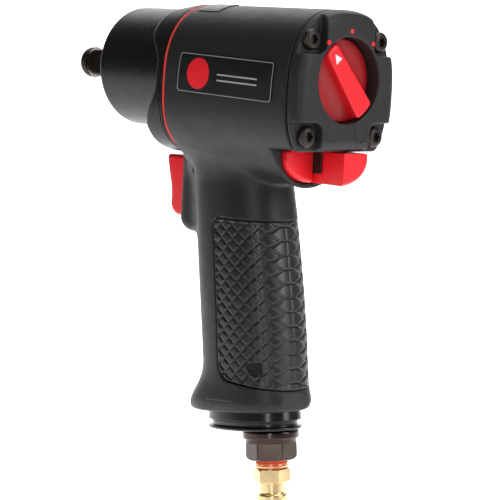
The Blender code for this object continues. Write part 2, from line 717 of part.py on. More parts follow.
def make_gaskets(look):
    """The red gasket behind the hammer case and the thin one under the rear cover."""
    front = CASE_BACK + SEAT / 2
    case_gasket = body_block("case_gasket", (front, front + GASKET_THICK), (0.2, 0.2), look["gasket"])
    combine(case_gasket, rod("case_gasket_bore", front - 1, front + 3, BORE_R, None, steps=28))
    seam = HOUSING_BACK + SEAT
    cover_gasket = body_block("cover_gasket", (seam, seam + COVER_GASKET), (0.8, 0.8), look["nitrile"],
                              BODY_BACK_BOTTOM)
    combine(cover_gasket, rod("cover_gasket_bore", seam - 1, seam + 3, BORE_R, None, steps=28))
    for number, (x, z) in enumerate(screw_places(), 1):
        place = {"steps": 14, "centre": (x, z)}
        hole = SCREW_R + SEAT
        combine(case_gasket, rod(f"case_gasket_hole_{number}", front - 1, front + 3, hole, None, **place))
        combine(cover_gasket, rod(f"cover_gasket_hole_{number}", seam - 1, seam + 3, hole, None, **place))
    return case_gasket, cover_gasket


def handle_block(name, surface, count=24):
    """The solid handle, from inside the body to its flared foot."""
    rings = []
    for height, *_ in HANDLE_RINGS:
        rings.append([handle_point(height, 360 * index / count) for index in range(count)])
    return loft(name, rings, surface)


def button_outline(grow, inner):
    """Half of the half-round button outline on the +X side, from an inner edge to the curved side."""
    half = BUTTON_HALF + grow
    low = arc(half, BUTTON_DROP + grow, 0, -90, 9, (0, BUTTON_MID_Z))
    kept = [(x, z) for x, z in low if x > inner + 0.3]
    share = inner / half
    foot = BUTTON_MID_Z - (BUTTON_DROP + grow) * math.sqrt(1 - share * share)
    return [(inner, BUTTON_TOP + grow), (half, BUTTON_TOP + grow)] + kept + [(inner, foot)]


def make_housing(look):
    """The motor housing: body, handle with its flared foot, trigger boss and button boss in one shell."""
    backs = (HOUSING_FRONT, HOUSING_FRONT + 20, HOUSING_FRONT + 45, HOUSING_BACK)
    housing = body_block("motor_housing", backs, (0, 0, 0, 0), look["composite"], BODY_BOTTOM)
    low, high = (-40, -HOUSING_BACK - 5, -60), (40, -RIM_BACK, BODY_BACK_BOTTOM)
    combine(housing, box("rear_underside", low, high, None))
    neck = handle_block("handle_block", None)
    combine(neck, box("neck_front_cut", (-40, -HOUSING_FRONT, CASE_CLEAR_Z), (40, 0, 0), None))
    combine(housing, neck, "UNION")
    boss_half = TRIGGER_HALF + BOSS_WALL
    boss = [(-TRIGGER_BOSS_FRONT, CASE_CLEAR_Z), (-TRIGGER_BOSS_FRONT, TRIGGER_BOTTOM - 1.0),
            (-TRIGGER_BOSS_FRONT - 4.0, TRIGGER_BOTTOM - 3.6), (-100, TRIGGER_BOTTOM - 6.6),
            (-100, CASE_CLEAR_Z + 4.0), (-HOUSING_FRONT, CASE_CLEAR_Z + 4.0), (-HOUSING_FRONT, CASE_CLEAR_Z)]
    combine(housing, prism("trigger_boss", boss, -boss_half, boss_half, None, across_lay()), "UNION")
    half = button_outline(BUTTON_WALL, 0.0)
    whole = half + [(-x, z) for x, z in reversed(half) if x > 0]
    combine(housing, prism("button_boss", whole, 100.0, RIM_BACK, None), "UNION")
    for tool in housing_cutters():
        combine(housing, tool)
    return housing


def housing_cutters():
    """Every hollow in the motor housing."""
    tools = [rod("motor_bore", HOUSING_FRONT - 1, HOUSING_BACK + 1, BORE_R, None, steps=28)]
    for number, (x, z) in enumerate(screw_places(), 1):
        tools.append(rod(f"screw_hole_{number}", HOUSING_FRONT - 1, HOUSING_BACK + 1, SCREW_R + SEAT, None,
                         steps=14, centre=(x, z)))
    cavity_half = button_outline(RUN, 0.0)
    cavity = cavity_half + [(-x, z) for x, z in reversed(cavity_half) if x > 0]
    middle_front = PINION_BACK - PINION_R - 2.2
    tools.append(prism("button_cavity", cavity, middle_front, RIM_BACK + 1, None))
    rack_front = BUTTON_OUT_FACE - BUTTON_BLOCK - RACK_LENGTH - BUTTON_TRAVEL - 1.0
    rack_tip = PINION_R - RACK_ADDENDUM * PINION_MODULE
    for side in (-1, 1):
        outline = [(side * x, z) for x, z in button_outline(RUN, rack_tip - RUN)]
        tools.append(prism(f"rack_cavity_{side + 1}", outline, rack_front, middle_front + 1, None))
    tools.append(rod_z("valve_bore", PINION_BACK, BUTTON_TOP - 4, SPOOL_BOTTOM - 1.0,
                       SPOOL_R + VALVE_WALL + RUN + SEAT))
    pocket_back = TRIGGER_BODY_BACK + TRIGGER_TRAVEL + 0.6
    tools.append(box("trigger_pocket", (-TRIGGER_HALF - RUN, -pocket_back, TRIGGER_BOTTOM - RUN),
                     (TRIGGER_HALF + RUN, -TRIGGER_BOSS_FRONT + 1, TRIGGER_TOP + RUN), None))
    tang_back = TRIGGER_PIN_BACK + 3.6 + TRIGGER_TRAVEL
    tools.append(box("tang_pocket", (-TANG_HALF - RUN, -tang_back - 0.6, TRIGGER_PIN_Z - 3.4 - RUN),
                     (TANG_HALF + RUN, -TRIGGER_BODY_BACK, TRIGGER_PIN_Z + 3.4 + RUN), None))
    tools.append(rod_x("pin_hole", TRIGGER_PIN_BACK, TRIGGER_PIN_Z, 30.0, TRIGGER_PIN_R + SEAT))
    tools.append(rod("throttle_bore", TRIGGER_BODY_BACK + 2, STEM_BACK + SPRING_LONG + 0.8, THROTTLE_R + SEAT,
                     None, steps=20, centre=(0, STEM_Z)))
    tools.append(raked("air_bore", [(2.0, 0), (2.0, AIR_R), (-98.0, AIR_R), (-98.0, 0)], None, steps=20))
    bore, end = INLET_BODY_R + SEAT, -INLET_UP - 5.2
    tools.append(raked("inlet_bore", [(6.0, 0), (6.0, bore), (end, bore), (end, 0)], None, steps=28))
    tools.append(exhaust_channel())
    tools.append(handle_skin("grip_recess", GRIP_TOP + SEAT, GRIP_LOW - SEAT, GRIP_HALF_ANGLE + 1.2,
                             GRIP_THICK + SEAT, -2.0, None))
    seat = deflector_rings(SEAT, ((DEFLECTOR_TOP - SEAT, 0.0), (4.0, 0.0)))
    tools.append(loft("deflector_seat", seat, None))
    return tools


def exhaust_channel():
    """The used air's way down the front of the handle to its foot."""
    half = CHAMBER_HALF
    foot = HANDLE_RINGS[-1][0]
    rings = []
    for height, long in ((TRIGGER_BOTTOM - 9.0, 8.0), (-92.0, 8.0), (-126.0, 8.0), (foot, 18.0)):
        back, depth, _ = handle_at(height)
        front = back - depth + EXHAUST_FRONT_WALL
        rings.append([(-half, -front, height), (half, -front, height),
                      (half, -front - long, height), (-half, -front - long, height)])
    return loft("exhaust_channel", rings, None)


def rod_z(name, back, top, low, radius, steps=24, surface=None, inner=0.0):
    """A round rod or tube that stands along Z on the centre plane."""
    work = bmesh.new()
    profile = [(top, inner), (top, radius), (low, radius), (low, inner)]
    points = [work.verts.new((across, -back, height)) for height, across in profile]
    for first, second in zip(points, points[1:]):
        work.edges.new((first, second))
    if inner > 0:
        work.edges.new((points[-1], points[0]))
    bmesh.ops.spin(work, geom=work.verts[:] + work.edges[:], cent=(0, -back, 0), axis=(0, 0, 1),
                   angle=math.tau, steps=steps, use_merge=True)
    bmesh.ops.remove_doubles(work, verts=work.verts, dist=1e-5)
    return finish(name, work, surface, (0, -back, top))


def rod_x(name, back, height, half, radius, surface=None, steps=16):
    """A round rod across the wrench along X."""
    outline = arc(radius, radius, 0, 360, steps + 1, (-back, height))[:-1]
    return prism(name, outline, -half, half, surface, across_lay(), (0, -back, height))


def make_cover(look):
    """The rear cover: outer plate, hub in the motor bore, dial recess and pockets for the screw heads."""
    backs = (COVER_SEAM, COVER_FACE - 3.0, COVER_FACE - 1.2, COVER_FACE)
    cover = body_block("rear_cover", backs, (0.0, 0.0, 0.6, 2.4), look["cover"], BODY_BACK_BOTTOM - 0.3)
    hub = COVER_SEAM - HUB_DEEP
    combine(cover, rod("cover_hub", hub, COVER_SEAM + 1, BORE_R - SEAT, None, steps=28), "UNION")
    combine(cover, rod("dial_recess", DIAL_FLOOR - SEAT, COVER_FACE + 1, DIAL_RECESS_R, None, steps=32))
    combine(cover, rod("stem_hole", hub - 1, DIAL_FLOOR, DIAL_STEM_R + RUN, None, steps=22))
    combine(cover, rod("valve_pocket", hub - 1, hub + 6.6, 12.4 + RUN, None, steps=28))
    combine(cover, rod("seal_groove", hub + 6.0, hub + 9.4, DIAL_STEM_R + 2.2, None, steps=28))
    combine(cover, rod("detent_hole", DIAL_FLOOR - 5.0, DIAL_FLOOR, 1.5 + RUN, None, steps=14,
                       centre=(0, DETENT_R)))
    head = SCREW_HEAD_R + 0.9
    for number, (x, z) in enumerate(screw_places(), 1):
        side = math.copysign(1.0, x)
        deep = COVER_FACE - POCKET_DEEP
        outline = arc(head, head, 0, 360, 17, (x, z))[:-1]
        combine(cover, prism(f"head_pocket_{number}", outline, deep, COVER_FACE + 1, None))
        notch = [(x, z - head), (x + side * 14, z - head), (x + side * 14, z + head), (x, z + head)]
        combine(cover, prism(f"head_notch_{number}", notch, deep, COVER_FACE + 1, None))
        combine(cover, rod(f"cover_hole_{number}", COVER_SEAM - 2, COVER_FACE, SCREW_R + SEAT, None,
                           steps=14, centre=(x, z)))
    return cover


def make_screw(number, x, z, look):
    """A long housing screw with a button head and a six-lobed socket."""
    head = COVER_FACE - POCKET_DEEP + SEAT
    tip = CASE_BACK - SCREW_REACH + 1.0
    profile = [(tip, 0), (tip, SCREW_R - 0.5), (tip + 0.8, SCREW_R), (head, SCREW_R), (head, SCREW_HEAD_R),
               (head + 1.1, SCREW_HEAD_R), (head + SCREW_HEAD_HIGH, SCREW_HEAD_R - 1.9),
               (head + SCREW_HEAD_HIGH, 0)]
    screw = turned(f"housing_screw_{number}", profile, look["dark_steel"], steps=14, centre=(x, z))
    star = []
    for index in range(12):
        radius = 2.3 if index % 2 else 1.6
        star.append((x + radius * math.cos(math.pi * index / 6), z + radius * math.sin(math.pi * index / 6)))
    combine(screw, prism(f"star_{number}", star, head + 0.8, head + SCREW_HEAD_HIGH + 1, None))
    return screw


def make_dial(look):
    """The power dial: a disc with a bar across it and a stem that turns the regulator valve."""
    disc = DIAL_RECESS_R - SEAT
    dial = rod("regulator_dial", DIAL_FLOOR, DIAL_FACE, disc, look["red"], steps=36)
    hub = COVER_SEAM - HUB_DEEP
    combine(dial, rod("dial_stem", hub + 1.0, DIAL_FLOOR + 1, DIAL_STEM_R, None, steps=24), "UNION")
    half = KNOB_WIDTH / 2
    end = DIAL_RECESS_R - KNOB_INSET
    bar = [(-half, -end), (half, -end), (half - 0.8, end), (-half + 0.8, end)]
    angle = math.radians(DIAL_REST_DEG)
    turn = Matrix.Rotation(angle, 4, "Y") @ spindle_lay()
    combine(dial, prism("dial_bar", bar, DIAL_FLOOR + 0.5, COVER_FACE - 0.2, None, turn), "UNION")
    flat = [(-8, DIAL_STEM_R - 1.4), (8, DIAL_STEM_R - 1.4), (8, 9), (-8, 9)]
    combine(dial, prism("stem_flat", flat, hub - 1, hub + 5.4, None))
    return dial


def make_regulator_valve(look):
    """The drum keyed to the dial's stem; its slots throttle the motor's air."""
    hub = COVER_SEAM - HUB_DEEP
    drum = rod("regulator_valve", hub + 0.6, hub + 5.4, 12.4, look["alloy"], steps=30)
    bore = arc(DIAL_STEM_R + SEAT, DIAL_STEM_R + SEAT, 0, 360, 25)[:-1]
    bore = [(u, min(v, DIAL_STEM_R - 1.4 + SEAT)) for u, v in bore]
    combine(drum, prism("drum_bore", bore, hub - 1, hub + 7, None))
    for side in (-1, 1):
        combine(drum, rod(f"drum_port_{side + 1}", hub - 1, hub + 7, 1.8, None, steps=14,
                          centre=(side * 9.0, 0)))
    return drum


def make_ring_seal(name, front, back, inner, outer, look, centre=(0.0, 0.0)):
    """An O-ring along Y with a six-sided section."""
    mid, radius = (front + back) / 2, (inner + outer) / 2
    wire = (outer - inner) / 2
    profile = [(mid + wire * math.cos(math.tau * step / 6), radius + wire * math.sin(math.tau * step / 6))
               for step in range(6)]
    return turned(name, profile, look["nitrile"], steps=20, centre=centre)


def make_detent(look):
    """The ball and spring that click the dial into its settings."""
    work = bmesh.new()
    bmesh.ops.create_icosphere(work, subdivisions=2, radius=1.35)
    place = (0, -(DIAL_FLOOR - SEAT - 1.35), DETENT_R)
    work.transform(Matrix.Translation(place))
    ball = finish("detent_ball", work, look["steel"], place)
    spring = coil("detent_spring", DIAL_FLOOR - 4.8, DIAL_FLOOR - 3.3, 1.1, 0.22, 2.5, (0, DETENT_R),
                  look["steel"])
    return ball, spring


def coil(name, front, back, radius, wire, turns, centre, surface):
    """A compression spring along Y, as a curve swept along a helix."""
    curve = bpy.data.curves.new(name, "CURVE")
    curve.dimensions = "3D"
    curve.bevel_depth = wire * MM
    curve.bevel_resolution = 0
    curve.use_fill_caps = True
    count = int(turns * 10) + 1
    line = curve.splines.new("POLY")
    line.points.add(count - 1)
    middle = (front + back) / 2
    for index in range(count):
        angle = math.tau * turns * index / (count - 1)
        along = front + (back - front) * index / (count - 1)
        place = (radius * math.cos(angle), middle - along, radius * math.sin(angle))
        line.points[index].co = (place[0] * MM, place[1] * MM, place[2] * MM, 1)
    made = bpy.data.objects.new(name, curve)
    made.location = (centre[0] * MM, -middle * MM, centre[1] * MM)
    curve.materials.append(surface)
    bpy.context.scene.collection.objects.link(made)
    return made


def rack_teeth(side, face):
    """A button bar's outline in X and Y: straight outside, a rack inside; face is the button's rear face."""
    pitch = math.pi * PINION_MODULE
    block_front = face - BUTTON_BLOCK
    tip = block_front - RACK_LENGTH
    top = PINION_R - RACK_ADDENDUM * PINION_MODULE
    root = PINION_R + RACK_DEDENDUM * PINION_MODULE
    slope = math.tan(math.radians(PRESSURE_DEG))
    half = pitch / 4 - BACKLASH / 2
    phase = rack_phase(side)
    points = []
    first = math.ceil((tip + 1.0 + pitch / 2 - PINION_BACK - phase) / pitch)
    last = math.floor((block_front - 1.0 - pitch / 2 - PINION_BACK - phase) / pitch)
    for index in range(first, last + 1):
        middle = PINION_BACK + phase + index * pitch
        wide = half + (root - PINION_R) * slope
        thin = half - (PINION_R - top) * slope
        points += [(root, middle - wide), (top, middle - thin), (top, middle + thin), (root, middle + wide)]
    return points, root, tip, block_front


def rack_phase(side):
    """Where the rack's teeth sit, so that they fall between the pinion's teeth; one of those is on +X."""
    tooth_at_minus_x = PINION_TEETH % 2 == 0
    return math.pi * PINION_MODULE / 2 if side > 0 or tooth_at_minus_x else 0.0


def make_button(name, side, face, look):
    """A quarter-round button whose bar runs forward as a rack beside the pinion."""
    teeth, root, tip, block_front = rack_teeth(side, face)
    block = [(side * x, z) for x, z in button_outline(0.0, BUTTON_GAP / 2)]
    origin = (side * BUTTON_HALF / 2, -face, BUTTON_MID_Z)
    button = prism(name, block, block_front, face, look["red"], None, origin)
    bar = [(side * x, z) for x, z in button_outline(0.0, root)]
    combine(button, prism(f"{name}_bar", bar, tip, block_front + 1, None), "UNION")
    outline = [(side * (root + 0.6), -tip - 0.4), (side * (root + 0.6), -block_front + 0.4)]
    outline += [(side * x, -back) for x, back in reversed(teeth)]
    low = PINION_TOP - PINION_THICK - 0.6
    combine(button, prism(f"{name}_teeth", outline, low, PINION_TOP + 0.6, None, flat_lay()), "UNION")
    return button


def pinion_outline():
    """Involute pinion teeth with a little backlash, one tooth centred on +X."""
    pressure = math.radians(PRESSURE_DEG)
    base = PINION_R * math.cos(pressure)
    tip = PINION_R + RACK_ADDENDUM * PINION_MODULE
    root = PINION_R - RACK_DEDENDUM * PINION_MODULE
    involute = math.tan(pressure) - pressure
    half_pitch = math.pi / (2 * PINION_TEETH) - BACKLASH / 2 / PINION_R
    flank = []
    for step in range(3):
        radius = base + (tip - base) * step / 2
        slant = math.acos(min(1.0, base / radius))
        flank.append((radius, half_pitch + involute - (math.tan(slant) - slant)))
    outline = []
    for index in range(PINION_TEETH):
        middle = math.tau * index / PINION_TEETH
        polar = [(root, -flank[0][1])] + [(radius, -half) for radius, half in flank]
        polar += [(radius, half) for radius, half in reversed(flank)] + [(root, flank[0][1])]
        for radius, offset in polar:
            outline.append((radius * math.cos(middle + offset), radius * math.sin(middle + offset)))
    return outline


def make_reverse_valve(look):
    """The reversing spool: a pinion between the racks on top of a ported spool."""
    outline = [(x, y - PINION_BACK) for x, y in pinion_outline()]
    origin = (0, -PINION_BACK, PINION_TOP)
    valve = prism("reverse_valve", outline, PINION_TOP - PINION_THICK, PINION_TOP, look["steel"], flat_lay(),
                  origin)
    combine(valve, rod_z("spool", PINION_BACK, PINION_TOP - 1, SPOOL_BOTTOM, SPOOL_R), "UNION")
    low = (-2.2, -PINION_BACK - 20, SPOOL_BOTTOM + 1.6)
    high = (2.2, -PINION_BACK + 20, SPOOL_BOTTOM + 4.6)
    combine(valve, box("spool_port", low, high, None))
    return valve


def make_reverse_bushing(look):
    """The ported sleeve that the reversing spool turns in."""
    inner = SPOOL_R + RUN
    top = BUTTON_MID_Z - BUTTON_DROP - RUN - SEAT
    sleeve = rod_z("reverse_bushing", PINION_BACK, top, SPOOL_BOTTOM, inner + VALVE_WALL, 28, look["steel"],
                   inner)
    low = (-2.2, -PINION_BACK - 20, SPOOL_BOTTOM + 1.6)
    high = (2.2, -PINION_BACK + 20, SPOOL_BOTTOM + 4.0)
    return combine(sleeve, box("bushing_port", low, high, None))


def make_trigger(look):
    """The trigger: a red finger piece, a body in the boss and a slotted tang on the trigger pin."""
    profile = [(-TRIGGER_BODY_BACK, TRIGGER_TOP), (-TRIGGER_FACE + 3.2, TRIGGER_TOP),
               (-TRIGGER_FACE + 2.4, TRIGGER_TOP - 3.0), (-TRIGGER_FACE, TRIGGER_TOP - 9.0),
               (-TRIGGER_FACE - 0.8, TRIGGER_TOP - 15.0), (-TRIGGER_FACE - 2.8, TRIGGER_BOTTOM),
               (-TRIGGER_BODY_BACK, TRIGGER_BOTTOM)]
    origin = (0, -TRIGGER_FACE, (TRIGGER_TOP + TRIGGER_BOTTOM) / 2)
    trigger = prism("trigger", profile, -TRIGGER_HALF, TRIGGER_HALF, look["red"], across_lay(), origin)
    tang_back = TRIGGER_PIN_BACK + 3.6
    tang = box("tang", (-TANG_HALF, -tang_back, TRIGGER_PIN_Z - 3.2),
               (TANG_HALF, -TRIGGER_BODY_BACK + 2, TRIGGER_PIN_Z + 3.2), None)
    combine(trigger, tang, "UNION")
    clear = TRIGGER_PIN_R + RUN
    slot_back, slot_front = -TRIGGER_PIN_BACK - clear, -TRIGGER_PIN_BACK + TRIGGER_TRAVEL + clear
    slot = [(slot_back, TRIGGER_PIN_Z - clear), (slot_front, TRIGGER_PIN_Z - clear),
            (slot_front, TRIGGER_PIN_Z + clear), (slot_back, TRIGGER_PIN_Z + clear)]
    combine(trigger, prism("tang_slot", slot, -20, 20, None, across_lay()))
    combine(trigger, rod("stem_seat", TRIGGER_BODY_BACK - 4.0, TRIGGER_BODY_BACK + 1, STEM_R + SEAT, None,
                         steps=16, centre=(0, STEM_Z)))
    return trigger


def make_throttle(look):
    """Stem, guide bushing, tip valve and spring that let the air through when the trigger is pulled."""
    stem = rod("throttle_stem", TRIGGER_BODY_BACK - 4.0 + SEAT, STEM_BACK, STEM_R, look["steel"], steps=16,
               centre=(0, STEM_Z))
    front = TRIGGER_BODY_BACK + TRIGGER_TRAVEL + 1.4
    seat = STEM_BACK + 0.5 * SEAT
    guide = tube("throttle_bushing", front, seat, STEM_R + RUN, THROTTLE_R, look["brass"], steps=24,
                 centre=(0, STEM_Z))
    combine(guide, rod("guide_chamber", seat - 4.0, seat + 1, STEM_R + 2.0, None, steps=20,
                       centre=(0, STEM_Z)))
    disc = seat + SEAT
    tip = rod("tip_valve", disc, disc + 1.6, 4.6, look["brass"], steps=24, centre=(0, STEM_Z))
    spring = coil("valve_spring", disc + 2.3, STEM_BACK + SPRING_LONG, 3.4, 0.4, 5, (0, STEM_Z),
                  look["steel"])
    return stem, guide, tip, spring


def make_inlet(look):
    """The steel inlet bushing with its flange and hexagon, its seal, and the screen inside."""
    flange = INLET_FLANGE
    top = INLET_FLANGE_TOP
    profile = [(-INLET_UP, 6.6), (-INLET_UP, INLET_BODY_R), (top, INLET_BODY_R), (top, INLET_FLANGE_R - 0.5),
               (top + 0.5, INLET_FLANGE_R), (flange, INLET_FLANGE_R - 0.6), (flange, INLET_BORE_R)]
    bushing = raked("inlet_bushing", profile, look["dark_steel"])
    hexa = prism("inlet_hex", hexagon(INLET_HEX, 12.0), flange - 0.6, flange + INLET_HEX_LONG, None,
                 rake_matrix(INLET_BACK, INLET_Z))
    bore = [(flange - 2, 0), (flange - 2, INLET_BORE_R), (20, INLET_BORE_R), (20, 0)]
    combine(hexa, raked("hex_bore", bore, None))
    combine(bushing, hexa, "UNION")
    seal_r, wire = INLET_BODY_R - 1.6, 0.7
    seal = [(-INLET_UP - 1.5 + down, seal_r + out) for down, out in arc(wire, wire, 0, 360, 7)[:-1]]
    raked("inlet_o_ring", seal, look["nitrile"], steps=20)
    screen = [(-INLET_UP + 12.0, 0), (-INLET_UP + 12.0, 5.9), (-INLET_UP + 11.2, 5.9), (-INLET_UP + 11.2, 0)]
    raked("inlet_screen", screen, look["mesh"], steps=24)
    return bushing


def make_plug(look):
    """The brass air plug screwed into the inlet, with the sealant round its thread."""
    hex_top = INLET_FLANGE + INLET_HEX_LONG + 3.4
    hex_low = hex_top + 6.4
    profile = [(-4.0, 3.2), (-4.0, PLUG_THREAD_R - 0.9), (-3.0, PLUG_THREAD_R - 0.6),
               (hex_top - 1.6, PLUG_THREAD_R), (hex_top - 1.6, 7.0), (hex_top + 0.5, 7.0),
               (hex_top + 0.5, 5.6), (hex_low + 4.6, 5.6),
               (hex_low + 5.6, 6.4), (hex_low + 9.4, 6.4), (hex_low + 11.0, 5.2), (hex_low + 17.0, 5.2),
               (hex_low + 18.0, 4.6), (hex_low + 20.5, 4.6), (hex_low + 21.4, 5.2), (hex_low + 24.0, 5.2),
               (hex_low + 26.5, 3.9), (hex_low + 26.5, 3.2)]
    plug = raked("air_plug", profile, look["brass"], steps=18)
    hexa = prism("plug_hex", hexagon(PLUG_HEX, 5.0), hex_top, hex_low, None, rake_matrix(INLET_BACK, INLET_Z))
    bore = [(hex_top - 1, 0), (hex_top - 1, 4.5), (hex_low + 1, 4.5), (hex_low + 1, 0)]
    combine(hexa, raked("plug_hex_bore", bore, None))
    combine(plug, hexa, "UNION")
    top = INLET_FLANGE + INLET_HEX_LONG + 0.2
    inner = PLUG_THREAD_R + 0.15
    seal = [(top, inner), (top, 6.75), (hex_top - 1.8, 6.75), (hex_top - 1.8, inner)]
    raked("thread_seal", seal, look["sealant"], steps=24)
    return plug


def deflector_rings(grow, rows):
    """Oval rings square to the inlet axis, each at a distance down it and less by an inset."""
    turn = rake_matrix(INLET_BACK, INLET_Z)
    rings = []
    for down, inset in rows:
        ring = super_ring(DEFLECTOR_HALF - inset + grow, DEFLECTOR_DEPTH - inset + grow, DEFLECTOR_POWER, 32)
        rings.append([turn @ Vector((x, y - DEFLECTOR_AHEAD, down)) for x, y in ring])
    return rings


def deflector_box(name, half, start, end, top, low, surface=None, middle=0.0):
    """A block square to the inlet axis, from start to end ahead of the deflector's middle."""
    ahead = DEFLECTOR_AHEAD
    outline = [(middle - half, -ahead - end), (middle + half, -ahead - end),
               (middle + half, -ahead - start), (middle - half, -ahead - start)]
    return prism(name, outline, top, low, surface, rake_matrix(INLET_BACK, INLET_Z))


def make_deflector(look):
    """The exhaust deflector: an oval collar with a groove, open below in front for the air to leave."""
    top, low = DEFLECTOR_TOP, DEFLECTOR_LOW
    rows = ((top, 0.6), (top + 0.6, 0.0), (low - 4.2, 0.0), (low - 3.8, 1.8), (low - 2.0, 1.8),
            (low - 1.6, 0.0), (low - 0.6, 0.0), (low, 0.8))
    deflector = loft("exhaust_deflector", deflector_rings(0.0, rows), look["gloss"])
    hole = [(2.0, 0), (2.0, INLET_BODY_R + RUN), (-30, INLET_BODY_R + RUN), (-30, 0)]
    combine(deflector, raked("deflector_hole", hole, None))
    combine(deflector, deflector_box("deflector_chamber", CHAMBER_HALF, CHAMBER_START, CHAMBER_END, top - 6.0,
                                     low - 1.6))
    for index in range(5):
        across = -7.2 + 3.6 * index
        combine(deflector, deflector_box(f"outlet_{index}", 1.0, CHAMBER_START + 1.4, CHAMBER_END - 1.0,
                                         low - 4.0, low + 2.0, middle=across))
    return deflector


def make_silencer(look):
    """The felt block in the deflector that quietens the exhaust."""
    gap = 0.6
    return deflector_box("exhaust_silencer", CHAMBER_HALF - gap, CHAMBER_START + gap, CHAMBER_END - gap,
                         DEFLECTOR_TOP + 1.0, DEFLECTOR_LOW - 2.4, look["felt"])


def body_skin(name, side, front, long, low, high, gap, thick, surface):
    """A thin label that follows the body's side."""
    rings = []
    for step in range(4):
        back = front + long * step / 3
        ring = []
        for layer in (gap + thick, gap):
            rows = range(5) if layer > gap else reversed(range(5))
            for row in rows:
                height = low + (high - low) * row / 4
                ring.append((side * (body_half_at(back, height) + layer), -back, height))
        rings.append(ring)
    return loft(name, rings, surface)


def body_half_at(back, height):
    """The body's half width at a distance behind the tip and a height."""
    share = (back - HOUSING_FRONT) / (HOUSING_BACK - HOUSING_FRONT)
    half = BODY_HALF_FRONT + (BODY_HALF_BACK - BODY_HALF_FRONT) * share
    above = height > BODY_MID_Z
    reach = BODY_TOP - BODY_MID_Z if above else BODY_MID_Z - BODY_BOTTOM
    power = BODY_POWER if above else BODY_LOW_POWER
    return half * (1 - abs((height - BODY_MID_Z) / reach) ** power) ** (1 / power)


def make_labels(look):
    """The blank black side label and a small blank label on top."""
    low, high = LABEL_MID_Z - LABEL_HIGH / 2, LABEL_MID_Z + LABEL_HIGH / 2
    body_skin("side_label", -1, LABEL_FRONT, LABEL_LONG, low, high, LABEL_GAP, LABEL_THICK, look["label"])
    low = (-6.0, -HOUSING_FRONT - 16.0, BODY_TOP + LABEL_GAP)
    high = (6.0, -HOUSING_FRONT - 4.0, BODY_TOP + LABEL_GAP + LABEL_THICK)
    box("top_label", low, high, look["label"])


def clear_scene():
    """Removes whatever the file holds."""
    for item in list(bpy.data.objects):
        bpy.data.objects.remove(item, do_unlink=True)


def main():
    clear_scene()
    look = make_materials()
    make_hammer_case(look)
    make_anvil(look)
    make_retainer_ring(look)
    make_bushing(look)
    make_anvil_seal(look)
    make_cage(look)
    make_hammer("hammer_front", HAMMERS_FRONT, 1, look)
    make_hammer("hammer_rear", HAMMERS_FRONT + HAMMER_THICK + RUN, -1, look)
    for side, name in ((-1, "hammer_pin_left"), (1, "hammer_pin_right")):
        rod(name, CAGE_FRONT + 1.2 + SEAT, CAGE_BACK - 1.2 - SEAT, PIN_R, look["steel"], steps=14,
            centre=(side * PIN_OFFSET, 0))
    make_rotor(look)
    for index in range(VANES):
        make_vane(index, look)
    make_liner(look)
    make_end_plate("front_end_plate", HOUSING_FRONT + SEAT, look)
    make_end_plate("rear_end_plate", LINER_BACK + SEAT, look)
    make_bearing("front", HOUSING_FRONT + 2 * SEAT, look)
    make_bearing("rear", LINER_BACK + SEAT_FLOOR + 2 * SEAT, look)
    make_gaskets(look)
    make_housing(look)
    make_cover(look)
    for number, (x, z) in enumerate(screw_places(), 1):
        make_screw(number, x, z, look)
    make_dial(look)
    make_regulator_valve(look)
    hub = COVER_SEAM - HUB_DEEP
    make_ring_seal("dial_o_ring", hub + 7.0, hub + 9.2, DIAL_STEM_R + 0.25, DIAL_STEM_R + 1.9, look)
    make_detent(look)
    make_button("reverse_button_left", -1, BUTTON_OUT_FACE - BUTTON_TRAVEL, look)
    make_button("reverse_button_right", 1, BUTTON_OUT_FACE, look)
    make_reverse_valve(look)
    make_reverse_bushing(look)
    make_trigger(look)
    rod_x("trigger_pin", TRIGGER_PIN_BACK, TRIGGER_PIN_Z, TRIGGER_HALF + BOSS_WALL - 0.2, TRIGGER_PIN_R,
          look["steel"])
    make_throttle(look)
    make_inlet(look)
    make_plug(look)
    make_deflector(look)
    make_silencer(look)
    handle_skin("grip_sleeve", GRIP_TOP, GRIP_LOW, GRIP_HALF_ANGLE, GRIP_THICK, 0.0, look["rubber"])
    make_labels(look)


main()
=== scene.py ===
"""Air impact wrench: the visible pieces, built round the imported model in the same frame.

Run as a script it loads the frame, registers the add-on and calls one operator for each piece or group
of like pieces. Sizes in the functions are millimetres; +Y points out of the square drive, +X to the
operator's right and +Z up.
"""

import math

import bpy
import numpy as np
from bpy.props import FloatProperty, FloatVectorProperty, PointerProperty
from mathutils import Matrix, Vector


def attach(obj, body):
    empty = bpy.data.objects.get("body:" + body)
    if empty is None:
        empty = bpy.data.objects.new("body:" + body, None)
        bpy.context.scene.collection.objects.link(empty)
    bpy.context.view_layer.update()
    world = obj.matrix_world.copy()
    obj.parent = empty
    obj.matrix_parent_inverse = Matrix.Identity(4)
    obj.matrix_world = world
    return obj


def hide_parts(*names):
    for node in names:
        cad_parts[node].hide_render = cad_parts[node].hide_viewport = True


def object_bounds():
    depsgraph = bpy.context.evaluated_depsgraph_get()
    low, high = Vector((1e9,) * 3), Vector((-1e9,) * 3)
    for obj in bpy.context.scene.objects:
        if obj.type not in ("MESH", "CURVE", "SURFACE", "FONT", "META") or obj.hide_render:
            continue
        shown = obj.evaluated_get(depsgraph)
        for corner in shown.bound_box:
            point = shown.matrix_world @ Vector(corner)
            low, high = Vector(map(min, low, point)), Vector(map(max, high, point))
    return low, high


bl_info = {
    "name": "Air impact wrench",
    "version": (1, 0, 0),
    "blender": (4, 5, 0),
    "location": "View3D > Sidebar > Wrench",
    "description": "Builds the visible pieces of an air impact wrench round its packed frame",
    "category": "Add Mesh",
}

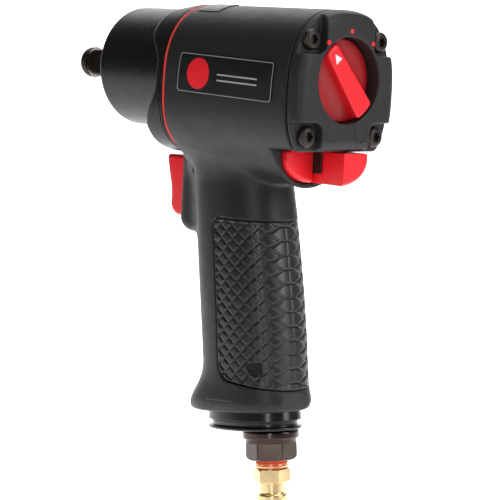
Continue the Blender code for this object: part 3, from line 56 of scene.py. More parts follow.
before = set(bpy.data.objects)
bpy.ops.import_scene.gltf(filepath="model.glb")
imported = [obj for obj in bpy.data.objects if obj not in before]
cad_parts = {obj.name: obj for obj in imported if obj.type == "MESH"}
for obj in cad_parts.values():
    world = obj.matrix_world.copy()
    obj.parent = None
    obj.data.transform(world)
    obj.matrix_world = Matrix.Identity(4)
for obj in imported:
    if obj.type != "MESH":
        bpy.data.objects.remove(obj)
CAD_BOX = [[float(value) for value in corner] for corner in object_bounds()]

MM = 0.001

# Where the main surfaces lie, as distances behind the tip of the square drive
NOSE_R = 26.1
NOSE_FRONT = 37.4
BOSS_R = 15.2
BOSS_FRONT = 26.0
CASE_BACK = 86.0
HOUSING_FRONT = 87.3
HOUSING_BACK = 158.0
COVER_SEAM = 158.9
COVER_FACE = 165.5
DIAL_FACE = 159.5
DIAL_FLOOR = 156.5
DIAL_R = 17.35
DIAL_LEAN_DEG = -40.5
BORE_R = 22.6

# Body outline across the spindle axis
BODY_HALF_FRONT = 31.2
BODY_HALF_BACK = 28.8
BODY_MID_Z = -5.0
BODY_TOP = 28.6
BODY_BOTTOM = -36.0
BODY_BACK_BOTTOM = -29.0
BODY_POWER = 2.5
BODY_LOW_POWER = 2.9

# Handle: height, how far behind the tip, half depth, half width
HANDLE = np.array((
    (-143.2, 117.5, 28.0, 18.8),
    (-141.6, 117.4, 29.2, 20.2),
    (-138.0, 117.8, 28.9, 20.1),
    (-132.0, 119.7, 25.2, 19.3),
    (-126.0, 120.0, 23.9, 19.0),
    (-110.0, 117.9, 24.1, 18.9),
    (-92.0, 115.1, 23.9, 18.9),
    (-75.0, 112.2, 23.5, 18.7),
    (-60.0, 109.4, 23.2, 18.4),
    (-45.0, 106.6, 22.4, 18.0),
    (-20.0, 103.0, 20.0, 16.0),
))
HANDLE_BLEND = 2.4
HANDLE_LEVELS = np.linspace(HANDLE[0, 0], HANDLE[-1, 0], 500)
FOOT_TOP = -131.0
FOOT_TURNED = -140.0
HANDLE_POWER = 2.35
HANDLE_RAKE_DEG = 6.56
GRIP_TOP = -61.0
GRIP_LOW = -131.0
GRIP_CLIMB = 2.2
GRIP_TOP_ANGLE = 93.0
GRIP_LOW_ANGLE = 97.0
GRIP_MM_PER_DEG = 0.6
GRIP_DEG_PER_MM = 2.82
GRIP_DEEP = 2.0
WINDOW_ALONG = 18.8
WINDOW_Z = -122.4
WINDOW_HALF_HIGH = 2.9

SCREWS = ((-19.8, 16.1), (19.8, 16.1), (-19.8, -23.0), (19.8, -23.0))
POCKET_FLOOR = 161.0

RIM_BACK = 145.0
BUTTON_HALF = 15.4
BUTTON_TOP = -29.7
BUTTON_MID_Z = -32.5
BUTTON_DROP = 10.7
BUTTON_WALL = 2.7
BUTTON_INNER = 0.62
BUTTON_LONG = 19.2
BUTTON_FACES = (("left", -1, 147.8), ("right", 1, 164.4))
BUTTON_ROOM = 0.4

TRIGGER_TOP = -37.6
TRIGGER_LOW = -64.0
TRIGGER_REAR = 82.1
TRIGGER_MID_Z = -50.8
TRIGGER_HALF = 6.0
PIN_BACK = 89.7
PIN_Z = -42.4
PIN_HOLE_R = 1.45
BOSS_TOP = -36.3
TANG_Z = -44.8

LABEL_BACK = 123.2
LABEL_TILT_DEG = 2.0

INLET_BACK = 131.3
INLET_Z = -152.2
INLET_BORE_R = 8.7
INLET_BORE_TOP = -29.2
DEFLECTOR_AHEAD = 9.6
DEFLECTOR_HALF = 16.0
DEFLECTOR_DEPTH = 22.6
DEFLECTOR_POWER = 2.2
DEFLECTOR_TOP = -12.4
DEFLECTOR_LOW = -2.3

VIEW_AZIMUTH_DEG = -44.02
LENS_MM = 146.10456
AIM_RIGHT = 0.00067513
AIM_DOWN = 0.01763230
VIEW_AWAY = np.array((math.sin(math.radians(-VIEW_AZIMUTH_DEG)), math.cos(math.radians(VIEW_AZIMUTH_DEG))))
VIEW_SIDE = np.array((VIEW_AWAY[1], -VIEW_AWAY[0]))


# ---------------------------------------------------------------- arrays to meshes

def outward(points, quads, tris):
    """Turns every face round when the volume they enclose, a third of the sum of each triangle's first
    corner dotted with its area vector, comes out negative."""
    fans = np.concatenate([quads[:, [0, 1, 2]], quads[:, [0, 2, 3]], tris])
    a, b, c = (points[fans[:, k]] for k in range(3))
    if np.einsum("ij,ij->i", a, np.cross(b - a, c - a)).sum() < 0:
        return quads[:, ::-1], tris[:, ::-1]
    return quads, tris


def put_piece(name, points, quads, tris, body, slot, look, replaced=(), sharp_deg=35.0):
    """Makes a mesh object from arrays of points in millimetres and faces, and rides it on a body."""
    points = np.asarray(points, float)
    quads = np.asarray(quads, np.int64).reshape(-1, 4)
    tris = np.asarray(tris, np.int64).reshape(-1, 3)
    quads, tris = outward(points, quads, tris)
    loops = np.concatenate([quads.ravel(), tris.ravel()]).astype(np.int32)
    sizes = np.concatenate([np.full(len(quads), 4), np.full(len(tris), 3)])
    starts = np.concatenate([[0], np.cumsum(sizes)[:-1]]).astype(np.int32)
    mesh = bpy.data.meshes.new(name)
    mesh.vertices.add(len(points))
    mesh.vertices.foreach_set("co", (points * MM).astype(np.float32).ravel())
    mesh.loops.add(len(loops))
    mesh.loops.foreach_set("vertex_index", loops)
    mesh.polygons.add(len(starts))
    mesh.polygons.foreach_set("loop_start", starts)
    mesh.update(calc_edges=True)
    if mesh.validate():
        raise ValueError(f"{name} held faces that are not valid")
    mesh.shade_smooth()
    mesh.set_sharp_from_angle(angle=math.radians(sharp_deg))
    mesh.materials.append(look)
    piece = bpy.data.objects.new(name, mesh)
    bpy.context.scene.collection.objects.link(piece)
    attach(piece, body)
    if replaced:
        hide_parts(*replaced)
    return piece


def sheet_faces(rows, columns, loop_rows=False, first=0):
    """Quads between the points of a grid whose columns close on themselves."""
    index = first + np.arange(rows * columns).reshape(rows, columns)
    after = np.roll(index, -1, axis=1)
    if loop_rows:
        upper, upper_after = np.roll(index, -1, axis=0), np.roll(after, -1, axis=0)
        low, low_after = index, after
    else:
        low, low_after, upper, upper_after = index[:-1], after[:-1], index[1:], after[1:]
    return np.stack([low, low_after, upper_after, upper], axis=-1).reshape(-1, 4)


def closed_sheet(grid, loop_rows=False):
    """Points, quads and triangles of a grid (rows, columns, 3) whose columns close on themselves. The
    first and last rows are closed with a fan to their middle, unless the rows close on themselves too."""
    rows, columns, _ = grid.shape
    points = grid.reshape(-1, 3)
    quads = sheet_faces(rows, columns, loop_rows)
    if loop_rows:
        return points, quads, np.empty((0, 3), np.int64)
    points = np.concatenate([points, grid[:1].mean(axis=1), grid[-1:].mean(axis=1)])
    ring = np.arange(columns)
    after = np.roll(ring, -1)
    last = (rows - 1) * columns
    start, end = rows * columns, rows * columns + 1
    tris = np.concatenate([
        np.stack([after, ring, np.full(columns, start)], axis=-1),
        np.stack([last + ring, last + after, np.full(columns, end)], axis=-1),
    ])
    return points, quads, tris


def joined(*parts):
    """Several (points, quads, tris) sets as one."""
    shift, points, quads, tris = 0, [], [], []
    for part_points, part_quads, part_tris in parts:
        part_quads, part_tris = outward(part_points, part_quads, part_tris)
        points.append(part_points)
        quads.append(part_quads + shift)
        tris.append(part_tris + shift)
        shift += len(part_points)
    return np.concatenate(points), np.concatenate(quads), np.concatenate(tris)


def rounded_path(corners, radii, steps=6, closed=False, support=0.35):
    """A path through corners, each replaced by a short parabola (1-s)^2 A + 2s(1-s) P + s^2 B between
    the points A and B that lie a corner's radius before and after it, with two extra points near the
    ends of each long straight so that its shading stays flat."""
    corners = np.asarray(corners, float)
    radii = np.broadcast_to(np.asarray(radii, float), len(corners)).copy()
    if not closed:
        radii[[0, -1]] = 0.0
    to_before = np.roll(corners, 1, axis=0) - corners
    to_after = np.roll(corners, -1, axis=0) - corners
    long_before = np.linalg.norm(to_before, axis=1)
    long_after = np.linalg.norm(to_after, axis=1)
    reach = np.minimum(radii, 0.46 * np.minimum(long_before, long_after))
    before = corners + to_before * (reach / long_before)[:, None]
    after = corners + to_after * (reach / long_after)[:, None]
    s = np.linspace(0, 1, steps + 1)[None, :, None]
    path = ((1 - s) ** 2 * before[:, None] + 2 * s * (1 - s) * corners[:, None] + s ** 2 * after[:, None])
    path = path.reshape(-1, 2)
    ends = np.roll(path, -1, axis=0)
    step = ends - path
    long = np.linalg.norm(step, axis=1)
    unit = step / np.maximum(long, 1e-9)[:, None]
    near, far = path + unit * support, ends - unit * support
    extra = long > 4 * support
    if not closed:
        extra[-1] = False
    triple = np.stack([path, near, far], axis=1)
    keep = np.stack([np.ones_like(extra), extra, extra], axis=1)
    keep[:, 0] = long > 1e-6
    if not closed:
        keep[-1, 0] = True
    return triple[keep]


def turned(path, columns=96, centre=(0.0, 0.0), start_deg=0.0):
    """A grid that carries a path of (distance behind the tip, radius) round an axis along Y through
    centre (x, z): x + r cos t, -back, z + r sin t."""
    path = np.asarray(path, float)
    turn = math.radians(start_deg) + np.linspace(0, math.tau, columns, endpoint=False)
    radius = path[:, 1][:, None]
    return np.stack([centre[0] + radius * np.cos(turn), -path[:, 0][:, None] + 0 * turn,
                     centre[1] + radius * np.sin(turn)], axis=-1)


def raked(local):
    """Points (side, forward, down the inlet axis) placed in the frame of the raked inlet."""
    lean = math.radians(HANDLE_RAKE_DEG)
    side, forward, down = local[..., 0], local[..., 1], local[..., 2]
    y = -INLET_BACK + forward * math.cos(lean) - down * math.sin(lean)
    z = INLET_Z - forward * math.sin(lean) - down * math.cos(lean)
    return np.stack([side, y, z], axis=-1)


def raked_turn(path, columns=96, shape=None):
    """A grid that carries a path of (distance down the inlet axis, radius) round that axis. A shape
    gives the largest radius allowed at each angle, which cuts flats."""
    path = np.asarray(path, float)
    turn = np.linspace(0, math.tau, columns, endpoint=False)
    radius = path[:, 1][:, None] + 0 * turn
    if shape is not None:
        radius = np.minimum(radius, shape(turn)[None, :])
    down = path[:, 0][:, None] + 0 * turn
    return raked(np.stack([radius * np.cos(turn), radius * np.sin(turn), down], axis=-1))


def flats(across, sides, start_deg=0.0):
    """The radius of a regular polygon at each angle: half its width across flats over the cosine of the
    angle from the nearest flat."""
    def radius(turn):
        step = math.tau / sides
        off = np.mod(turn - math.radians(start_deg) + step / 2, step) - step / 2
        return across / 2 / np.cos(off)
    return radius


def smooth_min(a, b, blend):
    """The smaller of two fields, rounded where they are within blend of each other."""
    near = np.clip(blend - np.abs(a - b), 0, None) / blend
    return np.minimum(a, b) - near * near * blend / 4


def smooth_max(a, b, blend):
    """The larger of two fields, rounded where they are within blend of each other."""
    return -smooth_min(-a, -b, blend)


def field_surface(field, low, high, pitch, settle=2):
    """The surface where a field of x, y, z is zero, for shapes that flow into each other in a way one
    grid of two parameters can't follow. Each cell of a regular grid that the surface crosses gets one
    point at the mean of its edges' crossings, each grid edge that it crosses gets one quad of the four
    cells round it, and the points then step along the field's slope onto the zero."""
    low, high = np.asarray(low, float), np.asarray(high, float)
    count = np.ceil((high - low) / pitch).astype(int) + 1
    axes = [low[k] + pitch * np.arange(count[k]) for k in range(3)]
    value = field(*np.meshgrid(*axes, indexing="ij"))
    inside = value < 0
    cells = tuple(count - 1)
    total, hits = np.zeros(cells + (3,)), np.zeros(cells)
    crossings = []
    for axis in range(3):
        first = [slice(None)] * 3
        second = [slice(None)] * 3
        first[axis], second[axis] = slice(None, -1), slice(1, None)
        first, second = tuple(first), tuple(second)
        crossed = inside[first] != inside[second]
        crossings.append((axis, crossed, inside[first]))
        gap = np.where(crossed, value[first] - value[second], 1.0)
        share = np.where(crossed, value[first] / gap, 0.0)
        others = [k for k in range(3) if k != axis]
        for one in (0, 1):
            for two in (0, 1):
                window = [slice(None)] * 3
                window[others[0]] = slice(one, one + cells[others[0]])
                window[others[1]] = slice(two, two + cells[others[1]])
                window = tuple(window)
                hit = crossed[window]
                hits += hit
                total[..., axis] += np.where(hit, share[window], 0.0)
                total[..., others[0]] += hit * one
                total[..., others[1]] += hit * two
    active = hits > 0
    number = np.full(cells, -1, np.int64)
    number[active] = np.arange(active.sum())
    corner = np.argwhere(active)
    points = low + pitch * (corner + total[active] / hits[active][:, None])
    quads = []
    for axis, crossed, starts_inside in crossings:
        b, c = (axis + 1) % 3, (axis + 2) % 3
        place = np.argwhere(crossed)
        within = (place > 0) & (place < count - 1)
        place = place[within[:, b] & within[:, c]]
        step_b, step_c = np.eye(3, dtype=int)[b], np.eye(3, dtype=int)[c]
        around = [place - step_b - step_c, place - step_c, place, place - step_b]
        quad = np.stack([number[tuple(item.T)] for item in around], axis=-1)
        flip = ~starts_inside[tuple(place.T)]
        quad[flip] = quad[flip][:, ::-1]
        quads.append(quad)
    tiny = 0.02
    for _ in range(settle):
        here = field(*points.T)
        slope = np.stack([field(*(points + tiny * np.eye(3)[k]).T) - field(*(points - tiny * np.eye(3)[k]).T)
                          for k in range(3)], axis=-1) / (2 * tiny)
        size = np.maximum((slope ** 2).sum(axis=1), 1e-4)
        move = -(here / size)[:, None] * slope
        far = np.linalg.norm(move, axis=1)
        points = points + move * np.minimum(1.0, 0.5 * pitch / np.maximum(far, 1e-9))[:, None]
    return points, np.concatenate(quads), np.empty((0, 3), np.int64)


# ---------------------------------------------------------------- shared shapes

def body_half(y):
    """Half the body's width, narrowing evenly from its front to its back."""
    share = (-y - HOUSING_FRONT) / (HOUSING_BACK - HOUSING_FRONT)
    return BODY_HALF_FRONT + (BODY_HALF_BACK - BODY_HALF_FRONT) * share


def oval_field(x, z, half_x, half_z, power):
    """The scaled radius of a superellipse, (|x/a|^p + |z/b|^p)^(1/p), less one, times its smaller half."""
    radius = (np.abs(x / half_x) ** power + np.abs(z / half_z) ** power) ** (1 / power)
    return (radius - 1) * np.minimum(half_x, half_z)


def signed_power(value, power):
    """A value's size to a power, with its sign kept."""
    return np.sign(value) * np.abs(value) ** power


def body_reach(above, inset=0.0):
    """The power of the body's outline and its height from its middle, which differ above and below it."""
    reach = np.where(above, BODY_TOP - BODY_MID_Z, BODY_MID_Z - BODY_BOTTOM) - inset
    return np.where(above, BODY_POWER, BODY_LOW_POWER), reach


def body_field(x, y, z, inset=0.0):
    """The body's outline, a superellipse with one height and power above its middle and another below."""
    power, reach = body_reach(z > BODY_MID_Z, inset)
    return oval_field(x, z - BODY_MID_Z, body_half(y) - inset, reach, power)


def smoothed_rows():
    """The handle's table read at evenly spaced heights and averaged over a few millimetres, so that no
    crease shows."""
    spread = HANDLE_LEVELS[:, None] + np.linspace(-HANDLE_BLEND, HANDLE_BLEND, 5)
    reach = np.clip(spread, HANDLE[0, 0], HANDLE[-1, 0])
    return [np.interp(reach, HANDLE[:, 0], HANDLE[:, k]).mean(axis=1) for k in (1, 2, 3)]


HANDLE_ROWS = smoothed_rows()


def handle_row(height):
    """The handle's place behind the tip, half depth and half width at a height."""
    return tuple(np.interp(height, HANDLE_LEVELS, row) for row in HANDLE_ROWS)


def handle_tilt(height):
    """The slope of the handle's section: level above, and square to the inlet axis at the foot."""
    share = np.clip((FOOT_TOP - height) / (FOOT_TOP - FOOT_TURNED), 0.0, 1.0)
    return math.tan(math.radians(HANDLE_RAKE_DEG)) * share


def handle_level(y, z):
    """The height at the handle's middle of the section through a point, found by going three times
    round level = z + (y + back) tilt(level)."""
    level = z + 0 * y
    for _ in range(3):
        level = z + (y + handle_row(level)[0]) * handle_tilt(level)
    return level


def handle_field(x, y, level, inset=0.0):
    """The handle's section, a superellipse that drifts back and grows towards its foot."""
    back, depth, half = handle_row(level)
    return oval_field(x, y + back, half - inset, depth - inset, HANDLE_POWER)


def handle_skin(height, angle_deg, inset=0.0):
    """A point on the handle at a height and an angle from its rear: the superellipse's x from the sine
    and y from the cosine of the angle, each to the power 2/p with its sign kept, on a tilted section."""
    back, depth, half = handle_row(height)
    angle = np.radians(angle_deg)
    x = (half - inset) * signed_power(np.sin(angle), 2 / HANDLE_POWER)
    y = (depth - inset) * signed_power(np.cos(angle), 2 / HANDLE_POWER)
    return np.stack([x, -back - y, height + y * handle_tilt(height)], axis=-1)


def box_field(x, y, z, middle, half, rounding):
    """The distance to a box with rounded edges."""
    gap = [np.abs(value - mid) - side + rounding for value, mid, side in zip((x, y, z), middle, half)]
    outside = np.sqrt(sum(np.maximum(item, 0) ** 2 for item in gap))
    return outside + np.minimum(np.maximum(np.maximum(gap[0], gap[1]), gap[2]), 0) - rounding


def half_round_field(x, z, half, drop):
    """The outline under the body: straight sides above its middle, the lower half of an ellipse below."""
    below = np.minimum(z - BUTTON_MID_Z, 0.0)
    return (np.hypot(x / half, below / drop) - 1) * half


def raked_place(y, z):
    """How far a point is forward of the inlet axis, and how far down it."""
    lean = math.radians(HANDLE_RAKE_DEG)
    ahead, above = y + INLET_BACK, z - INLET_Z
    return (ahead * math.cos(lean) - above * math.sin(lean),
            -ahead * math.sin(lean) - above * math.cos(lean))


# ---------------------------------------------------------------- finishes

def finish_nodes(name):
    """An empty material with its shader and a coordinate node."""
    made = bpy.data.materials.new(name)
    made.use_nodes = True
    nodes, links = made.node_tree.nodes, made.node_tree.links
    shader = nodes["Principled BSDF"]
    place = nodes.new("ShaderNodeTexCoord")
    return made, nodes, links, shader, place


def noise_node(nodes, links, place, scale, detail=3.0, stretch=(1.0, 1.0, 1.0)):
    """Noise over the object's own coordinates, stretched by its mapping."""
    mapping = nodes.new("ShaderNodeMapping")
    mapping.inputs["Scale"].default_value = stretch
    links.new(place.outputs["Object"], mapping.inputs["Vector"])
    noise = nodes.new("ShaderNodeTexNoise")
    noise.inputs["Scale"].default_value = scale
    noise.inputs["Detail"].default_value = detail
    links.new(mapping.outputs["Vector"], noise.inputs["Vector"])
    return noise


def ranged(nodes, links, source, low, high, first=0.3, last=0.7):
    """Maps a range of a value, by default the middle of a noise, to another range."""
    node = nodes.new("ShaderNodeMapRange")
    for name, value in zip(("From Min", "From Max", "To Min", "To Max"), (first, last, low, high)):
        node.inputs[name].default_value = value
    links.new(source, node.inputs["Value"])
    return node.outputs["Result"]


def surface_finish(name, dark, light, rough, metallic=0.0, blotch=60.0, grain=2200.0, bump=0.15,
                   depth_mm=0.02, stretch=(1.0, 1.0, 1.0), specular=0.5):
    """A finish whose colour drifts between two tones over blotches, whose roughness drifts with a finer
    noise, and whose grain is a small bump."""
    made, nodes, links, shader, place = finish_nodes(name)
    tone = noise_node(nodes, links, place, blotch, 4.0)
    mix = nodes.new("ShaderNodeMix")
    mix.data_type = "RGBA"
    mix.inputs["A"].default_value = (*dark, 1.0)
    mix.inputs["B"].default_value = (*light, 1.0)
    links.new(ranged(nodes, links, tone.outputs["Fac"], 0.0, 1.0), mix.inputs["Factor"])
    links.new(mix.outputs["Result"], shader.inputs["Base Color"])
    fine = noise_node(nodes, links, place, grain, 2.0, stretch)
    wear = noise_node(nodes, links, place, blotch * 3.3, 3.0)
    links.new(ranged(nodes, links, wear.outputs["Fac"], rough[0], rough[1]), shader.inputs["Roughness"])
    relief = nodes.new("ShaderNodeBump")
    relief.inputs["Strength"].default_value = bump
    relief.inputs["Distance"].default_value = depth_mm * MM
    links.new(fine.outputs["Fac"], relief.inputs["Height"])
    links.new(relief.outputs["Normal"], shader.inputs["Normal"])
    shader.inputs["Metallic"].default_value = metallic
    shader.inputs["Specular IOR Level"].default_value = specular
    return made


def paint_shade_by_depth(made, deep_mm, face_mm, share):
    """Paints shade into a finish in a recess: its colour is multiplied by a share at the
    recess's floor, rising to one at its mouth, along Y."""
    nodes, links = made.node_tree.nodes, made.node_tree.links
    shader = nodes["Principled BSDF"]
    source = shader.inputs["Base Color"].links[0].from_socket
    place = nodes.new("ShaderNodeTexCoord")
    split = nodes.new("ShaderNodeSeparateXYZ")
    links.new(place.outputs["Object"], split.inputs["Vector"])
    depth = ranged(nodes, links, split.outputs["Y"], share, 1.0, deep_mm * MM, face_mm * MM)
    shade = nodes.new("ShaderNodeVectorMath")
    shade.operation = "SCALE"
    links.new(source, shade.inputs[0])
    links.new(depth, shade.inputs["Scale"])
    links.new(shade.outputs["Vector"], shader.inputs["Base Color"])


def tones(colour, spread):
    """A darker and a lighter tone of a colour."""
    return tuple(c * (1 - spread) for c in colour), tuple(c * (1 + spread) for c in colour)


# Each finish: its colour, how far its two tones spread, its roughness range, and what else differs
FINISHES = {
    "composite": ("charcoal", 0.1, (0.42, 0.5),
                  dict(blotch=45, grain=2600, bump=0.35, depth_mm=0.05, specular=0.36)),
    "cover": ("light", 0.08, (0.45, 0.52), dict(blotch=45, grain=2600, bump=0.35, depth_mm=0.05, specular=0.36)),
    "case": ((0.005, 0.0045, 0.0047), 0.12, (0.26, 0.34), dict(blotch=70, grain=3600, bump=0.12, specular=0.3)),
    "red": ("red", 0.04, (0.36, 0.42), dict(blotch=50, grain=3200, bump=0.12)),
    "dial": ("red", 0.04, (0.36, 0.42), dict(blotch=50, grain=3200, bump=0.12)),
    "gasket": ((0.78, 0.05, 0.035), 0.08, (0.5, 0.58), dict(blotch=90, grain=2400, bump=0.2)),
    "rubber": ((0.019, 0.018, 0.0182), 0.12, (0.28, 0.36), dict(blotch=80, grain=2200, bump=0.25, depth_mm=0.04)),
    "gloss": ((0.006, 0.006, 0.006), 0.1, (0.2, 0.27), dict(blotch=80, grain=2600, bump=0.08)),
    "label": ((0.005, 0.005, 0.0055), 0.1, (0.3, 0.36), dict(grain=2600, bump=0.04, depth_mm=0.01)),
    "silver": ((0.42, 0.42, 0.43), 0.08, (0.35, 0.45), dict(blotch=120, grain=3000, bump=0.1)),
    "white": ((0.85, 0.84, 0.84), 0.03, (0.45, 0.52), dict(blotch=90, grain=3000, bump=0.1)),
    "dark_steel": ((0.062, 0.046, 0.04), 0.12, (0.16, 0.24), dict(metallic=1.0, blotch=90, grain=2400)),
    "screw": ((0.05, 0.04, 0.038), 0.15, (0.34, 0.42), dict(metallic=0.8, blotch=300, grain=3000)),
    "brass": ("brass", 0.1, (0.2, 0.32), dict(metallic=1.0, blotch=160, grain=1600, bump=0.12)),
    "sealant": ((0.78, 0.1, 0.03), 0.15, (0.35, 0.5), dict(blotch=420, grain=1500, bump=0.4, depth_mm=0.1)),
    "steel": ((0.5, 0.49, 0.48), 0.1, (0.22, 0.34), dict(metallic=1.0, blotch=200, grain=2600, bump=0.1)),
    "cast": ((0.22, 0.22, 0.22), 0.15, (0.45, 0.6),
             dict(metallic=0.9, blotch=180, grain=1500, bump=0.3, depth_mm=0.06)),
    "bronze": ((0.55, 0.33, 0.16), 0.15, (0.35, 0.5), dict(metallic=1.0, blotch=220, grain=2500, bump=0.2)),
    "vane": ((0.17, 0.085, 0.04), 0.2, (0.55, 0.7),
             dict(blotch=200, grain=1800, bump=0.3, stretch=(1.0, 0.1, 1.0))),
    "nitrile": ((0.015, 0.015, 0.016), 0.15, (0.5, 0.6), dict(blotch=150, grain=2600)),
    "felt": ((0.3, 0.29, 0.27), 0.25, (0.9, 0.98), dict(blotch=700, grain=1400, bump=0.8, depth_mm=0.3)),
    "mesh": ((0.45, 0.32, 0.16), 0.3, (0.4, 0.55),
             dict(metallic=1.0, blotch=900, grain=1300, bump=0.9, depth_mm=0.2)),
}


def finish_named(kind):
    """One finish of the wrench, made once and shared."""
    known = bpy.data.materials.get("wrench_" + kind)
    if known is not None:
        return known
    colour, spread, rough, rest = FINISHES[kind]
    colours = bpy.context.scene.wrench_colours
    if colour == "light":
        colour = tuple(1.25 * c for c in colours.charcoal)
    elif isinstance(colour, str):
        colour = tuple(getattr(colours, colour))
    made = surface_finish("wrench_" + kind, *tones(colour, spread), rough, **rest)
    # The dial's colour darkens from the bar's top down to the disc's face: painted shade for the hollows beside
    # the bar.
    if kind == "dial":
        paint_shade_by_depth(made, -DIAL_FACE, -COVER_FACE, 0.42)
    return made


# ---------------------------------------------------------------- housing and grip

def corner_inset(way, corner):
    """How far a rounded corner of radius R draws in at a distance d from its end: R - sqrt(R^2 - (R-d)^2)."""
    left = np.clip(corner - way, 0.0, corner)
    return corner - np.sqrt(np.maximum(corner ** 2 - left ** 2, 0.0))


def grip_half_angle(height, margin=0.0):
    """Half the angle that the grip covers at a height, less the rounding of its corners."""
    widest = np.interp(height, (GRIP_LOW, GRIP_TOP), (GRIP_LOW_ANGLE, GRIP_TOP_ANGLE))
    inset = corner_inset(GRIP_TOP + margin - height, 5.0) + corner_inset(height - GRIP_LOW + margin, 9.0)
    return widest + (margin - inset) / GRIP_MM_PER_DEG


def grip_climb(share):
    """How far the grip's lower edge climbs towards its sides, from the share of its half angle."""
    return GRIP_CLIMB * np.abs(share) ** 1.5


def grip_recess_field(x, y, z, handle):
    """The hollow that the grip lies in, a little deeper and wider than the grip all round. The angle
    is the superellipse's own, atan2((|x|/a)^(p/2), (|y|/b)^(p/2)) with y's sign kept."""
    back, depth, half = handle_row(z)
    rear = -(y + back) / depth
    angle = np.degrees(np.arctan2(np.abs(x / half) ** (HANDLE_POWER / 2), signed_power(rear, HANDLE_POWER / 2)))
    climb = grip_climb(np.minimum(angle / GRIP_LOW_ANGLE, 1.0)) / (GRIP_TOP - GRIP_LOW)
    height = (z - climb * GRIP_TOP) / (1 - climb)
    reach = grip_half_angle(height, 0.25)
    ends = np.maximum(height - GRIP_TOP, GRIP_LOW - height) - 0.25
    return np.maximum(np.maximum(-(handle + GRIP_DEEP + 0.2), ends), (angle - reach) * GRIP_MM_PER_DEG)


def trigger_boss_field(x, y, z):
    """The block round the trigger, cut off level above, its lower front corner round."""
    ahead = (y + 83.0) / 8.0
    below = (TRIGGER_LOW - z) / 6.0
    round_corner = (np.hypot(np.maximum(ahead, 0), np.maximum(below, 0)) - 1) * 6.5
    boss = smooth_max(round_corner, np.abs(x) - 9.2, 4.5)
    boss = smooth_max(boss, -100.0 - y, 2.0)
    return smooth_max(boss, z - BOSS_TOP, 1.0)


def button_boss_field(x, y, z):
    """The half-round boss under the body that the buttons slide in, deeper towards its rear."""
    grown = np.clip((-y - 96.0) / (RIM_BACK - 96.0), 0.0, 1.0) ** 0.7
    drop = 2.0 + (BUTTON_DROP + BUTTON_WALL - 2.0) * grown
    boss = half_round_field(x, z, BUTTON_HALF + BUTTON_WALL, drop)
    boss = smooth_max(boss, -RIM_BACK - y, 0.9)
    boss = smooth_max(boss, y + 98.0, 3.0)
    return smooth_max(boss, z + 24.0, 3.0)


def housing_field(x, y, z):
    """The housing: body joined smoothly to handle, trigger boss and button boss, less its hollows."""
    body = body_field(x, y, z)
    body = smooth_max(body, y + HOUSING_FRONT, 0.7)
    body = smooth_max(body, -HOUSING_BACK - y, 0.5)
    body = smooth_max(body, -np.maximum(y + RIM_BACK, z - BODY_BACK_BOTTOM), 1.0)
    level = handle_level(y, z)
    handle = handle_field(x, y, level)
    neck = smooth_max(handle, z + 22.0, 2.0)
    neck = smooth_max(neck, HANDLE[0, 0] - level, 2.2)
    shape = smooth_min(body, neck, 13.0)
    shape = smooth_min(shape, trigger_boss_field(x, y, z), 5.0)
    shape = smooth_min(shape, button_boss_field(x, y, z), 6.0)
    shape = np.maximum(shape, -np.maximum(-HOUSING_FRONT - y, BOSS_TOP - z))
    shape = np.maximum(shape, -np.maximum(y + RIM_BACK, z - BODY_BACK_BOTTOM))
    shape = smooth_max(shape, BORE_R - np.hypot(x, z), 0.5)
    cavity = half_round_field(x, z, BUTTON_HALF + BUTTON_ROOM, BUTTON_DROP + BUTTON_ROOM)
    cavity = np.maximum(np.maximum(cavity, z - BUTTON_TOP - BUTTON_ROOM), y + 100.0)
    shape = smooth_max(shape, -cavity, 0.6)
    pocket = box_field(x, y, z, (0.0, -80.0, TRIGGER_MID_Z), (TRIGGER_HALF + 0.4, 10.6, 13.6), 1.0)
    shape = smooth_max(shape, -pocket, 0.5)
    tang = box_field(x, y, z, (0.0, -90.0, TANG_Z), (3.9, 6.0, 1.9), 0.5)
    shape = smooth_max(shape, -tang, 0.2)
    shape = smooth_max(shape, PIN_HOLE_R - np.hypot(y + PIN_BACK, z - PIN_Z), 0.3)
    forward, down = raked_place(y, z)
    seat = oval_field(x, forward - DEFLECTOR_AHEAD, DEFLECTOR_HALF + 0.3, DEFLECTOR_DEPTH + 0.3,
                      DEFLECTOR_POWER)
    shape = np.maximum(shape, -np.maximum(seat, DEFLECTOR_TOP - 0.3 - down))
    shape = np.maximum(shape, -np.maximum(np.hypot(x, forward) - INLET_BORE_R, INLET_BORE_TOP - down))
    return np.maximum(shape, -grip_recess_field(x, y, z, handle))


def grip_relief(along, height, pitch, deep):
    """Depth of the grip's grooves: diamonds between two families of slanting lines, which run level near
    the rear seam and then fork. A groove is flat below and has short slanting sides."""
    stretched = np.interp(along, (0.0, 2.9, 9.9, 60.0), (0.5, 0.5, 1.0, 1.0 + 50.1 / 6.15))
    row = (height - GRIP_LOW) / pitch
    up = np.abs(np.mod(stretched + row, 1.0) - 0.5)
    down = np.abs(np.mod(stretched - row, 1.0) - 0.5)
    line = np.minimum(0.5 - up, 0.5 - down)
    half = np.interp(along, (0.0, 2.9, 9.9), (0.09, 0.09, 0.19))
    groove = np.clip((half - line) / 0.07, 0.0, 1.0)
    seam = np.clip(1.0 - along / 0.7, 0.0, 1.0)
    return deep * np.maximum(groove * groove * (3 - 2 * groove), 0.5 * seam)


def grip_window(along, height):
    """How far inside the grip's D-shaped window a point is: half an ellipse on one side of its middle,
    a rectangle on the other."""
    u, v = (along - WINDOW_ALONG) / 3.6, (height - WINDOW_Z) / WINDOW_HALF_HIGH
    round_side = np.hypot(np.maximum(u, 0.0), v)
    return np.clip((1.0 - np.maximum(round_side, -u)) / 0.12, 0.0, 1.0)


